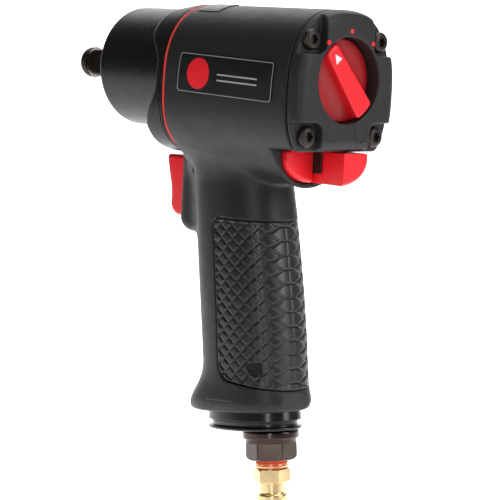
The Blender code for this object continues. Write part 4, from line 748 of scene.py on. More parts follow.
def grip_grid():
    """The grip as a closed grid: each row is one height, its columns run out over the ribbed face from
    one edge to the other and back along the smooth underside."""
    rows, outer_columns, inner_columns = 230, 320, 40
    sizes = bpy.context.scene.wrench_sizes
    level = np.linspace(GRIP_LOW, GRIP_TOP, rows)[:, None]
    left = (GRIP_TOP - level) / (GRIP_TOP - GRIP_LOW)
    reach = grip_half_angle(level)
    share = np.linspace(-1, 1, outer_columns)[None, :]
    height = level + left * grip_climb(share)
    outer = handle_skin(height, reach * share)
    step = np.linalg.norm(np.diff(outer, axis=1), axis=-1)
    along = np.concatenate([np.zeros((rows, 1)), np.cumsum(step, axis=1)], axis=1)
    along = along - 0.5 * along[:, -1:]
    edge = np.minimum(0.5 * np.ptp(along, axis=1)[:, None] - np.abs(along),
                      np.minimum(level - GRIP_LOW, GRIP_TOP - level))
    relief = grip_relief(np.abs(along), height, sizes.grip_pitch / MM, sizes.grip_groove / MM)
    relief = relief * np.clip((edge - 0.7) / 0.6, 0.0, 1.0)
    window = grip_window(-along, height)
    rim = np.clip(1 - edge / 0.6, 0, 1)
    lower = 0.1 + relief * (1 - window) + 1.5 * window + 0.4 * rim * rim
    middle = np.stack([0 * outer[..., 0], -handle_row(height)[0], height], axis=-1)
    inward = middle - outer
    inward /= np.linalg.norm(inward, axis=-1, keepdims=True)
    outer = outer + inward * lower[..., None]
    back_share = np.linspace(1, -1, inner_columns)[None, :]
    inner = handle_skin(level + left * grip_climb(back_share), reach * back_share, GRIP_DEEP)
    return np.concatenate([outer, inner], axis=1)


class WRENCH_OT_housing(bpy.types.Operator):
    """Make the motor housing with its handle, bosses and hollows"""
    bl_idname = "wrench.housing"
    bl_label = "Housing"

    def execute(self, context):
        surface = field_surface(housing_field, (-32.6, -159.4, -148.6), (32.6, -73.4, 30.0), 0.74)
        put_piece("housing_shell", *surface, "housing", "composite", finish_named("composite"),
                  ("motor_housing",), sharp_deg=50)
        plate = closed_sheet(foot_plate_grid())
        put_piece("foot_plate", *plate, "housing", "composite", finish_named("gloss"))
        # The rib between the buttons is near-black gloss as painted shade, for the shadow deep in the slot between
        # them.
        rib = closed_sheet(box_grid((0.0, -131.6, -34.0), (0.42, 20.6, 5.1), 0.3))
        put_piece("button_rib", *rib, "housing", "gloss", finish_named("gloss"))
        return {"FINISHED"}


def foot_plate_grid():
    """A small blank plate let into the flared foot: the handle's skin between two angles and two heights,
    lifted a little and closed over its back."""
    angle = np.linspace(-101.0, -75.5, 24)
    height = np.array([-140.9, -140.9, -137.5, -137.5])[:, None] + 0 * angle
    lift = np.array([0.3, -0.06, -0.06, 0.3])[:, None, None]
    face = handle_skin(height, angle[None, :] + 0 * height)
    back = handle_skin(height, angle[None, :] + 0 * height, 1.0)
    return np.concatenate([face + (back - face) * lift], axis=0).transpose(1, 0, 2)


def rectangle(half_u, half_v):
    """The four corners of a rectangle about its middle."""
    return [(half_u, half_v), (-half_u, half_v), (-half_u, -half_v), (half_u, -half_v)]


def box_grid(middle, half, rounding, steps=4):
    """A box with rounded edges as a grid: a rounded rectangle carried along Y, drawn in at both ends by
    r(1 - sin t) as it goes on by r(1 - cos t)."""
    outline = rounded_path(rectangle(half[0], half[2]), rounding, steps, closed=True)
    turn = np.linspace(0, math.pi / 2, steps + 1)
    inset = rounding * (1 - np.sin(turn))
    inset = np.concatenate([inset, inset[::-1]])
    out = half[1] - rounding + rounding * np.cos(turn)
    along = np.concatenate([out, -out[::-1]])
    scale_x = (half[0] - inset) / half[0]
    scale_z = (half[2] - inset) / half[2]
    x = middle[0] + outline[None, :, 0] * scale_x[:, None]
    z = middle[2] + outline[None, :, 1] * scale_z[:, None]
    y = middle[1] + along[:, None] + 0 * x
    return np.stack([x, y, z], axis=-1)


def window_shade_pane_grid():
    """The dark pane in the grip's window, painted shade for the dark inside of the hole: a half ellipse
    with two square corners beside it, laid on the handle's skin between two depths."""
    along = np.concatenate([np.linspace(-90.0, 90.0, 20), [160.0, 200.0]])
    outline = np.stack([np.cos(np.radians(along)), np.sin(np.radians(along))], axis=-1)
    outline = np.where(np.abs(along)[:, None] > 90.0, np.sign(outline), outline)
    ring = np.stack([outline * scale for scale in (0.05, 0.97, 0.97, 0.05)])
    height = WINDOW_Z + WINDOW_HALF_HIGH * ring[..., 1]
    angle = -(WINDOW_ALONG + 3.3 * ring[..., 0]) * GRIP_DEG_PER_MM
    depth = np.array([1.15, 1.15, 1.75, 1.75])[:, None, None]
    skin, under = handle_skin(height, angle), handle_skin(height, angle, GRIP_DEEP)
    return skin + (under - skin) * (depth / GRIP_DEEP)


class WRENCH_OT_grip(bpy.types.Operator):
    """Make the ribbed rubber grip round the back of the handle"""
    bl_idname = "wrench.grip"
    bl_label = "Grip"

    def execute(self, context):
        put_piece("grip_rubber", *closed_sheet(grip_grid()), "housing", "rubber", finish_named("rubber"),
                  ("grip_sleeve",), sharp_deg=60)
        # The near-black pane stands in the window as painted shade for the shadow inside the hole.
        put_piece("grip_window", *closed_sheet(window_shade_pane_grid()), "housing", "gloss", finish_named("gloss"))
        return {"FINISHED"}


# ---------------------------------------------------------------- front end

def body_radius(turn, back, inset=0.0):
    """The distance from the spindle axis to the body's outline in each direction, read from the outline
    drawn point by point at a fine step."""
    t = np.linspace(0, math.tau, 2881)[:-1]
    power, reach = body_reach(np.sin(t) > 0, inset)
    x = (body_half(-back) - inset) * signed_power(np.cos(t), 2 / power)
    z = BODY_MID_Z + reach * signed_power(np.sin(t), 2 / power)
    direction = np.mod(np.arctan2(z, x), math.tau)
    order = np.argsort(direction)
    return np.interp(np.mod(turn, math.tau), direction[order], np.hypot(x, z)[order], period=math.tau)


def flange_front(turn):
    """How far behind the tip the flange starts in each direction: 81 mm, and up to 8 mm further forward
    over each screw, falling off as a rounded bump 1 - s^2(3 - 2s)."""
    front = np.full_like(turn, 81.0)
    for (x, z), reach, half in zip(SCREWS, (7.2, 7.2, 7.8, 7.8), (0.46, 0.46, 0.52, 0.52)):
        off = np.abs(np.mod(turn - math.atan2(z, x) + math.pi, math.tau) - math.pi)
        s = np.clip((off - 0.12) / half, 0.0, 1.0)
        front = front - reach * (1 - s * s * (3 - 2 * s))
    return front


def case_grid(columns=320):
    """The hammer case: a closed path of (distance behind the tip, radius) carried round the spindle
    axis, whose flange part follows the body's outline and the wavy front edge in each direction."""
    turn = np.linspace(0, math.tau, columns, endpoint=False)
    nose = rounded_path(
        [(42.4, 22.7), (42.4, 13.0), (BOSS_FRONT, 13.0), (BOSS_FRONT, BOSS_R), (33.4, BOSS_R + 1.6),
         (NOSE_FRONT, 21.4), (NOSE_FRONT, NOSE_R), (70.0, NOSE_R)],
        [0.0, 0.8, 0.5, 0.9, 4.0, 2.4, 3.6, 0.0], steps=8)
    front = flange_front(turn)[None, :]
    outline = body_radius(turn, 80.0)[None, :]
    rise = np.maximum(outline - NOSE_R, 0.8)
    s = np.linspace(0, 1, 9)[:, None]
    foot = np.minimum(1.6, 0.5 * rise)
    root_back = front - 1.6 * (1 - s) ** 2
    root_radius = NOSE_R + foot * s ** 2
    edge = np.minimum(2.0, 0.5 * rise)
    lip_back = front + 2.4 * s ** 2
    lip_radius = outline - edge * (1 - s) ** 2
    groove = np.array([0.0, 0.3, 0.3, 0.0])[:, None]
    groove_back = np.array([84.3, 84.5, 84.8, 85.0])[:, None] + 0 * turn
    tail_back = np.array([CASE_BACK - 0.3, CASE_BACK, CASE_BACK, CASE_BACK, 42.4])[:, None] + 0 * turn
    tail_radius = np.concatenate([outline, outline - 0.4, 0 * outline + 23.5, 0 * outline + 22.7,
                                  0 * outline + 22.7])
    back = np.concatenate([nose[:, 0][:, None] + 0 * turn, root_back, lip_back, groove_back, tail_back])
    radius = np.concatenate([nose[:, 1][:, None] + 0 * turn, root_radius, lip_radius, outline - groove,
                             tail_radius])
    return np.stack([radius * np.cos(turn), -back, radius * np.sin(turn)], axis=-1)


def outline_ring(front, back, inset, bore, columns=240, rounding=0.25):
    """A flat ring whose outer edge follows the body's outline and whose inner edge is round."""
    turn = np.linspace(0, math.tau, columns, endpoint=False)
    outer = body_radius(turn, 0.5 * (front + back), inset)[None, :]
    back_rows = np.array([front, front, front + rounding, back - rounding, back, back])[:, None] + 0 * turn
    radius = np.concatenate([0 * outer + bore, outer - rounding, outer, outer, outer - rounding, 0 * outer + bore])
    return np.stack([radius * np.cos(turn), -back_rows, radius * np.sin(turn)], axis=-1)


class WRENCH_OT_case(bpy.types.Operator):
    """Make the hammer case with its wavy flange, and the red gasket behind it"""
    bl_idname = "wrench.case"
    bl_label = "Hammer case"

    def execute(self, context):
        put_piece("hammer_case_shell", *closed_sheet(case_grid(), loop_rows=True), "housing", "case",
                  finish_named("case"), ("hammer_case",), sharp_deg=40)
        ring = closed_sheet(outline_ring(86.15, 87.25, -0.05, BORE_R), loop_rows=True)
        put_piece("case_gasket_ring", *ring, "housing", "gasket", finish_named("gasket"), ("case_gasket",))
        return {"FINISHED"}


def drive_grid(columns=144):
    """The square drive and its shaft: at each distance behind the tip the radius is the smaller of a
    square with rounded corners and a circle, so that the square's corners are turned off at the tip."""
    path = np.array([
        (0.0, 7.0, 4.6), (0.0, 7.0, 5.6), (0.35, 7.0, 6.2), (1.0, 7.0, 6.7), (1.6, 7.0, 6.9),
        (2.6, 7.0, 6.9), (2.9, 6.9, 6.5), (3.1, 6.4, 5.9), (4.7, 6.4, 5.9), (4.9, 6.4, 6.6),
        (5.4, 6.4, 7.0), (7.2, 6.35, 7.7), (9.5, 6.35, 8.2), (15.0, 6.35, 8.3), (17.0, 6.5, 8.6),
        (17.8, 8.2, 9.0),
        (18.4, 9.2, 9.4), (19.0, 9.6, 9.6), (19.6, 9.6, 9.6), (30.0, 9.6, 9.6), (42.6, 9.6, 9.6),
        (42.7, 10.6, 10.6), (47.6, 10.6, 10.6), (48.6, 9.0, 9.0), (74.0, 9.0, 9.0), (74.8, 9.0, 9.0),
        (74.8, 5.2, 5.2), (77.0, 5.2, 5.2)])
    turn = np.linspace(0, math.tau, columns, endpoint=False)
    square = flats(2.0, 4)(turn)[None, :]
    flat, limit = path[:, 1][:, None], path[:, 2][:, None]
    radius = -smooth_max(-flat * square, -limit, 0.5)
    return np.stack([radius * np.cos(turn), -path[:, 0][:, None] + 0 * turn, radius * np.sin(turn)], axis=-1)


class WRENCH_OT_drive(bpy.types.Operator):
    """Make the square drive on its shaft and the spring ring that holds a socket"""
    bl_idname = "wrench.drive"
    bl_label = "Square drive"

    def execute(self, context):
        jaws = []
        for side, front in ((-1, 50.6), (1, 64.4)):
            jaws.append(closed_sheet(box_grid((side * 9.2, -front - 5.2, 0.0), (2.1, 5.2, 2.6), 0.6)))
        put_piece("drive_shaft", *joined(closed_sheet(drive_grid()), *jaws), "anvil_shaft", "dark_steel",
                  finish_named("dark_steel"), ("anvil",), sharp_deg=28)
        wire = np.linspace(0, math.tau, 17)[:-1]
        path = np.stack([3.9 + 0.55 * np.cos(wire), 6.42 + 0.55 * np.sin(wire)], axis=-1)
        put_piece("retainer_ring", *closed_sheet(turned(path, 96), loop_rows=True), "anvil_shaft", "steel",
                  finish_named("dark_steel"), ("socket_retainer_ring",))
        return {"FINISHED"}


# ---------------------------------------------------------------- rear cover, dial and buttons

def cover_field(x, y, z):
    """The rear cover: the body's outline cut off level below, its rear edge bevelled and softened, with
    a hub in the bore, the dial's recess, and a notch at each corner for a screw head."""
    outline = body_field(x, y, z)
    rear = -COVER_FACE - y
    outline = smooth_max(outline, -29.3 - z, 1.2)
    bevel = (outline + rear) * 0.7071 + 1.5
    plate = smooth_max(smooth_max(outline, rear, 0.6), bevel, 2.6)
    plate = smooth_max(plate, y + COVER_SEAM, 0.5)
    from_axis = np.hypot(x, z)
    hub = np.maximum(np.maximum(from_axis - 22.3, y + COVER_SEAM - 1.0), -COVER_FACE - y)
    hub = np.maximum(hub, y + 144.5)
    shape = np.minimum(plate, hub)
    shape = smooth_max(shape, -np.maximum(from_axis - 17.7, y + DIAL_FLOOR - 0.3), 0.9)
    shape = np.maximum(shape, -(from_axis - 5.4))
    shape = np.maximum(shape, -np.maximum(from_axis - 12.8, -151.1 - y))
    for screw_x, screw_z in SCREWS:
        outward_x = np.sign(screw_x) * (x - screw_x)
        outward_z = np.sign(screw_z) * (z - screw_z)
        notch = smooth_max(-(outward_x + 5.9), -(outward_z + 5.7), 4.5)
        notch = smooth_max(notch, y + POCKET_FLOOR, 0.7)
        shape = smooth_max(shape, -notch, 0.8)
    return shape


class WRENCH_OT_cover(bpy.types.Operator):
    """Make the rear cover, its two blank rings and the dial's power marks"""
    bl_idname = "wrench.cover"
    bl_label = "Rear cover"

    def execute(self, context):
        surface = field_surface(cover_field, (-31.0, -166.4, -30.4), (31.0, -143.6, 29.8), 0.46)
        put_piece("rear_cover_shell", *surface, "housing", "cover", finish_named("cover"), ("rear_cover",),
                  sharp_deg=50)
        rings = []
        wire = np.linspace(0, math.tau, 13)[:-1]
        for x in (-8.5, 8.5):
            path = np.stack([COVER_FACE + 0.16 * np.cos(wire), 3.4 + 0.3 * np.sin(wire)], axis=-1)
            rings.append(closed_sheet(turned(path, 64, (x, -22.1)), loop_rows=True))
        put_piece("cover_rings", *joined(*rings), "housing", "cover", finish_named("cover"))
        dots = []
        for angle in (-41.0, 0.0, 40.0):
            x, z = -20.0 * math.sin(math.radians(-angle)), 20.0 * math.cos(math.radians(angle))
            path = rounded_path([(164.9, 0.0), (164.9, 1.0), (165.58, 1.0), (165.58, 0.0)], [0, 0.1, 0.15, 0])
            dots.append(closed_sheet(turned(path[1:-1], 32, (x, z))))
        put_piece("power_marks", *joined(*dots), "housing", "red", finish_named("red"))
        return {"FINISHED"}


def screw_grid(x, z, columns=96):
    """A button-head screw: a dome on a shank, with a socket whose radius swells six times round. The
    dome's height follows a quarter of an ellipse from its rim inwards."""
    size = bpy.context.scene.wrench_sizes.screw_head / MM
    head = POCKET_FLOOR + 0.3
    dome = np.linspace(0.0, 1.0, 12)
    outer = rounded_path([(74.0, 1.2), (75.0, 1.9), (head, 1.9), (head, size), (head + 0.9, size)],
                         [0, 0.3, 0.2, 0.3, 0.0], steps=4)
    dome_r = size - 1.9 * dome
    dome_back = head + 0.9 + 1.7 * np.sqrt(1 - (1 - dome) ** 2)
    path = np.concatenate([outer, np.stack([dome_back[1:], dome_r[1:]], axis=-1)])
    turn = np.linspace(0, math.tau, columns, endpoint=False)
    lobes = (1.75 + 0.36 * np.cos(6 * turn))[None, :]
    top = head + 2.6
    radius = np.concatenate([path[:, 1][:, None] + 0 * turn, lobes + 0.12, lobes, lobes, 0.4 * lobes])
    back = np.concatenate([path[:, 0][:, None] + 0 * turn,
                           np.array([top, top - 0.15, top - 2.0, top - 2.2])[:, None] + 0 * turn])
    return np.stack([x + radius * np.cos(turn), -back, z + radius * np.sin(turn)], axis=-1)


class WRENCH_OT_screws(bpy.types.Operator):
    """Make the four housing screws"""
    bl_idname = "wrench.screws"
    bl_label = "Screws"

    def execute(self, context):
        for number, (x, z) in enumerate(SCREWS, 1):
            put_piece(f"button_screw_{number}", *closed_sheet(screw_grid(x, z)), "housing", "dark_steel",
                      finish_named("screw"), (f"housing_screw_{number}",))
        return {"FINISHED"}


def dial_field(x, y, z):
    """The power dial: a disc and a tapering bar across it that flow into each other, on a stem."""
    lean = math.radians(DIAL_LEAN_DEG)
    across = x * math.cos(lean) - z * math.sin(lean)
    along = x * math.sin(lean) + z * math.cos(lean)
    from_axis = np.hypot(x, z)
    disc = smooth_max(from_axis - DIAL_R, -DIAL_FACE - y, 1.0)
    disc = np.maximum(disc, y + DIAL_FLOOR)
    half = 4.2 - 0.045 * along
    slope = half + 0.16 * (y + 165.3)
    bar = smooth_max(np.abs(across) - slope, -165.25 - y, 0.8)
    bar = smooth_max(bar, from_axis - 16.9, 1.6)
    bar = np.maximum(bar, y + DIAL_FLOOR + 1.0)
    shape = smooth_min(disc, bar, 4.5)
    shape = np.maximum(shape, from_axis - DIAL_R)
    stem = np.maximum(np.maximum(from_axis - 5.0, y + 145.5), -DIAL_FLOOR - 0.6 - y)
    stem = np.maximum(stem, -np.maximum(3.6 - z, -149.9 - y))
    return np.minimum(shape, stem)


class WRENCH_OT_dial(bpy.types.Operator):
    """Make the power dial and its white pointer"""
    bl_idname = "wrench.dial"
    bl_label = "Power dial"

    def execute(self, context):
        surface = field_surface(dial_field, (-18.0, -166.0, -18.0), (18.0, -144.9, 18.0), 0.36)
        put_piece("power_dial_knob", *surface, "power_dial", "red", finish_named("dial"), ("regulator_dial",),
                  sharp_deg=50)
        lean = math.radians(DIAL_LEAN_DEG)
        corners = np.array([(0.0, 13.9), (-2.0, 9.9), (2.1, 9.9)])
        outline = rounded_path(corners, 0.35, 4, closed=True)
        middle = outline.mean(axis=0)
        rows = [(0.8, 164.8), (1.0, 165.28), (0.96, 165.34)]
        grid = []
        for scale, back in rows:
            u, v = (middle + (outline - middle) * scale).T
            grid.append(np.stack([u * math.cos(lean) + v * math.sin(lean), 0 * u - back,
                                  -u * math.sin(lean) + v * math.cos(lean)], axis=-1))
        put_piece("dial_pointer", *closed_sheet(np.array(grid)), "power_dial", "label", finish_named("white"))
        return {"FINISHED"}


def button_outline(side, steps=24):
    """The quarter-round outline of one button, from its inner edge round its curved side: the side
    stands straight below the top, and then follows a quarter of an ellipse down to the inner edge."""
    t = np.linspace(0, math.pi / 2, steps)
    curve_x = BUTTON_HALF * np.cos(t)
    curve_z = BUTTON_MID_Z - BUTTON_DROP * np.sin(t)
    keep = curve_x > BUTTON_INNER + 0.3
    corners = np.concatenate([[(BUTTON_INNER, BUTTON_TOP), (BUTTON_HALF, BUTTON_TOP)],
                              np.stack([curve_x[keep], curve_z[keep]], axis=-1),
                              [(BUTTON_INNER, BUTTON_MID_Z - BUTTON_DROP)]])
    radii = np.full(len(corners), 0.5)
    radii[1] = 2.4
    path = rounded_path(corners, radii, 3, closed=True, support=9.0)
    return path * np.array([side, 1.0])


def button_grid(side, face, front, bevel=1.3):
    """A button: its outline carried forward from its rear face, whose curved edge is bevelled by drawing
    the outline in towards its upper inner corner, so that both straight edges stay."""
    outline = button_outline(side)
    middle = np.array([side * BUTTON_INNER, BUTTON_TOP])
    inset = np.array([1.0, 0.9, 0.35, 0.1, 0.0, 0.0, 0.0, 0.25])
    back = np.array([0.0, 0.02, 0.45, 0.95, bevel, face - front - 0.3, face - front - 0.1, face - front])
    span = np.linalg.norm(outline - middle, axis=1)[None, :, None]
    scale = 1 - bevel * inset[:, None, None] / np.maximum(span, 10.0)
    flat = middle + (outline - middle)[None] * scale
    return np.stack([flat[..., 0], -face + back[:, None] + 0 * flat[..., 0], flat[..., 1]], axis=-1)


def rack_grid(side, face):
    """The button's bar with its rack: the inner edge of a plate steps in and out as a trapezoid wave of
    the distance along it."""
    pitch = math.tau * 7.4 / 14
    start, end = face - BUTTON_LONG - 29.0, face - BUTTON_LONG + 1.0
    back = np.linspace(start, end, 260)
    phase = np.mod((back - 118.4) / pitch + (0.0 if side > 0 else 0.5), 1.0)
    wave = np.clip(np.abs(phase - 0.5) * 4 - 0.5, 0.0, 1.0)
    tooth = 6.75 + 1.9 * wave
    outer = 15.1 + 0 * back
    top, low = BUTTON_TOP - 1.4, BUTTON_MID_Z - 3.4
    ring = np.stack([np.stack([side * tooth, -back, 0 * back + top], axis=-1),
                     np.stack([side * outer, -back, 0 * back + top], axis=-1),
                     np.stack([side * outer, -back, 0 * back + low], axis=-1),
                     np.stack([side * tooth, -back, 0 * back + low], axis=-1)], axis=1)
    return ring


class WRENCH_OT_buttons(bpy.types.Operator):
    """Make the two reversing buttons with their racks"""
    bl_idname = "wrench.buttons"
    bl_label = "Reversing buttons"

    def execute(self, context):
        for word, side, face in BUTTON_FACES:
            block = closed_sheet(button_grid(side, face, face - BUTTON_LONG))
            bar = closed_sheet(rack_grid(side, face))
            put_piece(f"reversing_button_{word}", *joined(block, bar), f"{word}_button", "red",
                      finish_named("red"), (f"reverse_button_{word}",), sharp_deg=30)
        return {"FINISHED"}


# ---------------------------------------------------------------- trigger and labels

def trigger_grid():
    """The trigger: its side outline carried across the wrench and drawn in at both sides by
    r(1 - sin t), so that its edges are round."""
    corners = [(-TRIGGER_REAR, TRIGGER_TOP), (-62.6, TRIGGER_TOP), (-64.6, -46.0), (-66.2, -51.0),
               (-66.8, -57.0), (-66.4, -60.6), (-69.5, TRIGGER_LOW), (-TRIGGER_REAR, TRIGGER_LOW)]
    outline = rounded_path(corners, [0.4, 1.6, 4.0, 4.0, 4.0, 3.0, 3.4, 0.4], 8, closed=True)
    middle = np.array([-74.5, TRIGGER_MID_Z])
    half, rounding = TRIGGER_HALF, 1.7
    turn = np.linspace(0, math.pi / 2, 8)
    inset = rounding * (1 - np.sin(turn))
    across = half - rounding + rounding * np.cos(turn)
    inset = np.concatenate([inset, inset[::-1]])
    across = np.concatenate([across, -across[::-1]])
    size = np.array([11.0, 13.2])
    flat = middle + (outline - middle)[None] * (1 - inset[:, None, None] / size)
    return np.stack([across[:, None] + 0 * flat[..., 0], flat[..., 0], flat[..., 1]], axis=-1)


class WRENCH_OT_trigger(bpy.types.Operator):
    """Make the trigger and its tang"""
    bl_idname = "wrench.trigger"
    bl_label = "Trigger"

    def execute(self, context):
        tang = closed_sheet(box_grid((0.0, -84.2, TANG_Z), (3.2, 3.6, 1.1), 0.3))
        put_piece("trigger_piece", *joined(closed_sheet(trigger_grid()), tang), "trigger_set", "red",
                  finish_named("red"), ("trigger",), sharp_deg=30)
        return {"FINISHED"}


def side_skin(along, height, lift):
    """A point on the body's left side, lifted off it: x is the outline's half width at that height."""
    power, reach = body_reach(height > BODY_MID_Z)
    x = body_half(-along) * (1 - np.abs((height - BODY_MID_Z) / reach) ** power) ** (1 / power)
    return np.stack([-(x + lift), -along, height], axis=-1)


def on_side(flat, middle, lift):
    """Flat points, turned by the label's tilt and laid on the body's left side about a middle."""
    tilt = math.radians(LABEL_TILT_DEG)
    along = middle[0] + flat[..., 0] * math.cos(tilt) + flat[..., 1] * math.sin(tilt)
    height = middle[1] - flat[..., 0] * math.sin(tilt) + flat[..., 1] * math.cos(tilt)
    return side_skin(along, height, lift[:, None])


def side_patch(outline, low, high, middle, rings=10):
    """A thin patch on the body's left side between two lifts: an outline repeated at growing sizes over
    its face, and at shrinking sizes over its back."""
    share = np.concatenate([np.linspace(0.02, 1.0, rings), np.linspace(1.0, 0.02, rings)])
    lift = np.concatenate([np.full(rings, high), np.full(rings, low)])
    return on_side(outline[None] * share[:, None, None], middle, lift)


def ring_points(count):
    """Points round a circle of radius 1."""
    turn = np.linspace(0, math.tau, count, endpoint=False)
    return np.stack([np.cos(turn), np.sin(turn)], axis=-1)


def rounded_rectangle(half_u, half_v, corner, steps=8):
    """A rounded rectangle with evenly spread points on its straights, so that it can follow a curve."""
    path = rounded_path(rectangle(half_u, half_v), corner, steps, closed=True, support=99.0)
    ends = np.roll(path, -1, axis=0)
    share = np.linspace(0, 1, 9)[:-1]
    return (path[:, None] * (1 - share[None, :, None]) + ends[:, None] * share[None, :, None]).reshape(-1, 2)


class WRENCH_OT_labels(bpy.types.Operator):
    """Make the blank side label with its border and plain mark, and the small label on top"""
    bl_idname = "wrench.labels"
    bl_label = "Labels"

    def execute(self, context):
        sizes = context.scene.wrench_sizes
        long, high = sizes.label_long / MM / 2, sizes.label_high / MM / 2
        middle = (LABEL_BACK, -1.2)
        plate = side_patch(rounded_rectangle(long, high, 1.8), 0.1, 0.42, middle)
        put_piece("side_label_plate", *closed_sheet(plate), "housing", "label", finish_named("label"),
                  ("side_label",))
        line = rounded_rectangle(long - 0.5, high - 0.45, 1.5)
        wide = rounded_rectangle(long - 0.25, high - 0.2, 1.65)
        border = on_side(np.stack([line, wide, wide, line]), middle, np.array([0.47, 0.47, 0.36, 0.36]))
        put_piece("side_label_border", *closed_sheet(border, loop_rows=True), "housing", "label",
                  finish_named("silver"))
        mark = side_patch(sizes.mark_radius / MM * ring_points(48), 0.36, 0.48, (107.8, -0.6))
        put_piece("side_label_mark", *closed_sheet(mark), "housing", "label", finish_named("red"))
        bars = [closed_sheet(side_patch(rounded_rectangle(11.5, 0.32, 0.2), 0.36, 0.47, (130.5, height)))
                for height in (-0.9, -3.3)]
        put_piece("side_label_bars", *joined(*bars), "housing", "label", finish_named("silver"))
        top = rounded_rectangle(6.2, 6.4, 0.8)
        share = np.array([0.05, 0.5, 0.97, 1.0, 1.0, 0.5, 0.05])[:, None, None]
        flat = top[None] * share
        rise = np.array([0.4, 0.4, 0.4, 0.34, -0.2, -0.2, -0.2])[:, None]
        x = flat[..., 0] - 11.0
        y = -97.2 + flat[..., 1]
        half = body_half(y)
        arch = (1 - np.abs(x / half) ** BODY_POWER) ** (1 / BODY_POWER)
        z = BODY_MID_Z + (BODY_TOP - BODY_MID_Z) * arch + rise
        put_piece("top_label_plate", *closed_sheet(np.stack([x, y, z], axis=-1)), "housing", "label",
                  finish_named("label"), ("top_label",))
        return {"FINISHED"}


# ---------------------------------------------------------------- foot of the handle

def deflector_grid(columns=220):
    """The exhaust deflector: a path of (distance down the inlet axis, inset) carried round a superellipse
    square to that axis, whose half depth and half width are each less by the inset."""
    path = rounded_path([(DEFLECTOR_TOP, 8.0), (DEFLECTOR_TOP, 0.6), (-6.6, 0.0), (-6.2, 1.7), (-4.3, 1.7),
                         (-3.9, 0.0), (-2.9, 0.0), (DEFLECTOR_LOW, 1.6), (DEFLECTOR_LOW, 7.2), (-4.3, 8.0)],
                        [0.4, 0.4, 0.35, 0.35, 0.35, 0.4, 0.6, 0.6, 0.4, 0.4], 5, closed=True)
    turn = np.linspace(0, math.tau, columns, endpoint=False)
    inset = path[:, 1][:, None]
    side = (DEFLECTOR_HALF - inset) * signed_power(np.cos(turn), 2 / DEFLECTOR_POWER)
    ahead = (DEFLECTOR_DEPTH - inset) * signed_power(np.sin(turn), 2 / DEFLECTOR_POWER) + DEFLECTOR_AHEAD
    return raked(np.stack([side, ahead, path[:, 0][:, None] + 0 * side], axis=-1))


class WRENCH_OT_deflector(bpy.types.Operator):
    """Make the glossy exhaust deflector under the handle"""
    bl_idname = "wrench.deflector"
    bl_label = "Exhaust deflector"

    def execute(self, context):
        slats = [closed_sheet(raked(box_grid((across, 16.6, -3.3), (0.8, 8.0, 0.8), 0.25)))
                 for across in (-9.0, -5.4, -1.8, 1.8, 5.4, 9.0)]
        put_piece("deflector_collar", *joined(closed_sheet(deflector_grid(), loop_rows=True), *slats), "housing",
                  "gloss", finish_named("gloss"), ("exhaust_deflector",))
        return {"FINISHED"}


class WRENCH_OT_inlet(bpy.types.Operator):
    """Make the steel inlet bushing, the thread sealant and the brass air plug"""
    bl_idname = "wrench.inlet"
    bl_label = "Air inlet"

    def execute(self, context):
        bore = rounded_path([(-24.0, 6.6), (-24.0, 8.4), (-2.0, 8.4), (-2.0, 12.1), (1.1, 12.1), (1.5, 10.9),
                             (3.0, 10.9), (3.0, 6.9)], [0.3, 0.4, 0.2, 0.5, 0.6, 0.3, 0.2, 0.2], 4, closed=True)
        flange = closed_sheet(raked_turn(bore, 128), loop_rows=True)
        hexagon = rounded_path([(1.3, 6.9), (1.3, 10.5), (1.6, 10.9), (9.0, 10.95), (9.8, 10.5), (10.4, 9.6),
                                (10.4, 6.9)], [0.1, 0.1, 0.3, 0.8, 0.3, 0.2, 0.3], 4, closed=True)
        hexa = closed_sheet(raked_turn(hexagon, 240, flats(19.0, 6, 42.0)), loop_rows=True)
        put_piece("inlet_bushing_steel", *joined(flange, hexa), "housing", "dark_steel",
                  finish_named("dark_steel"), ("inlet_bushing",), sharp_deg=24)
        down = np.linspace(10.6, 13.9, 40)
        ridge = 6.75 + 0.22 * np.cos(math.tau * (down - 10.6) / 1.1)
        path = np.concatenate([np.stack([down, ridge], axis=-1), [(13.9, 6.45), (10.6, 6.45)]])
        put_piece("sealant_band", *closed_sheet(raked_turn(path, 96), loop_rows=True), "housing", "sealant",
                  finish_named("sealant"), ("thread_seal",))
        path = rounded_path([(-4.0, 3.2), (-4.0, 5.5), (-3.0, 6.0), (12.2, 6.35), (12.2, 6.75), (14.3, 6.75),
                             (14.3, 5.6), (24.8, 5.6), (25.4, 6.4), (29.6, 6.4), (31.2, 5.2), (37.4, 5.2),
                             (38.2, 4.6), (40.7, 4.6), (41.6, 5.2), (44.2, 5.2), (46.7, 3.9), (46.7, 3.2)],
                            [0.2, 0.3, 0.3, 0.1, 0.2, 0.5, 0.3, 0.4, 0.5, 0.5, 0.6, 0.5, 0.4, 0.4, 0.5, 0.6,
                             0.3, 0.2], 4, closed=True)
        body = closed_sheet(raked_turn(path, 112), loop_rows=True)
        nut = rounded_path([(13.8, 4.6), (13.8, 6.6), (14.6, 7.9), (15.0, 8.1), (19.2, 8.1), (19.6, 7.9),
                            (20.2, 6.6), (20.2, 4.6)], [0.1, 0.3, 0.2, 0.2, 0.2, 0.2, 0.3, 0.1], 3, closed=True)
        nut = closed_sheet(raked_turn(nut, 240, flats(14.0, 6, 35.0)), loop_rows=True)
        put_piece("air_plug_brass", *joined(body, nut), "housing", "brass", finish_named("brass"), ("air_plug",),
                  sharp_deg=24)
        return {"FINISHED"}


# ---------------------------------------------------------------- inner pieces and stage

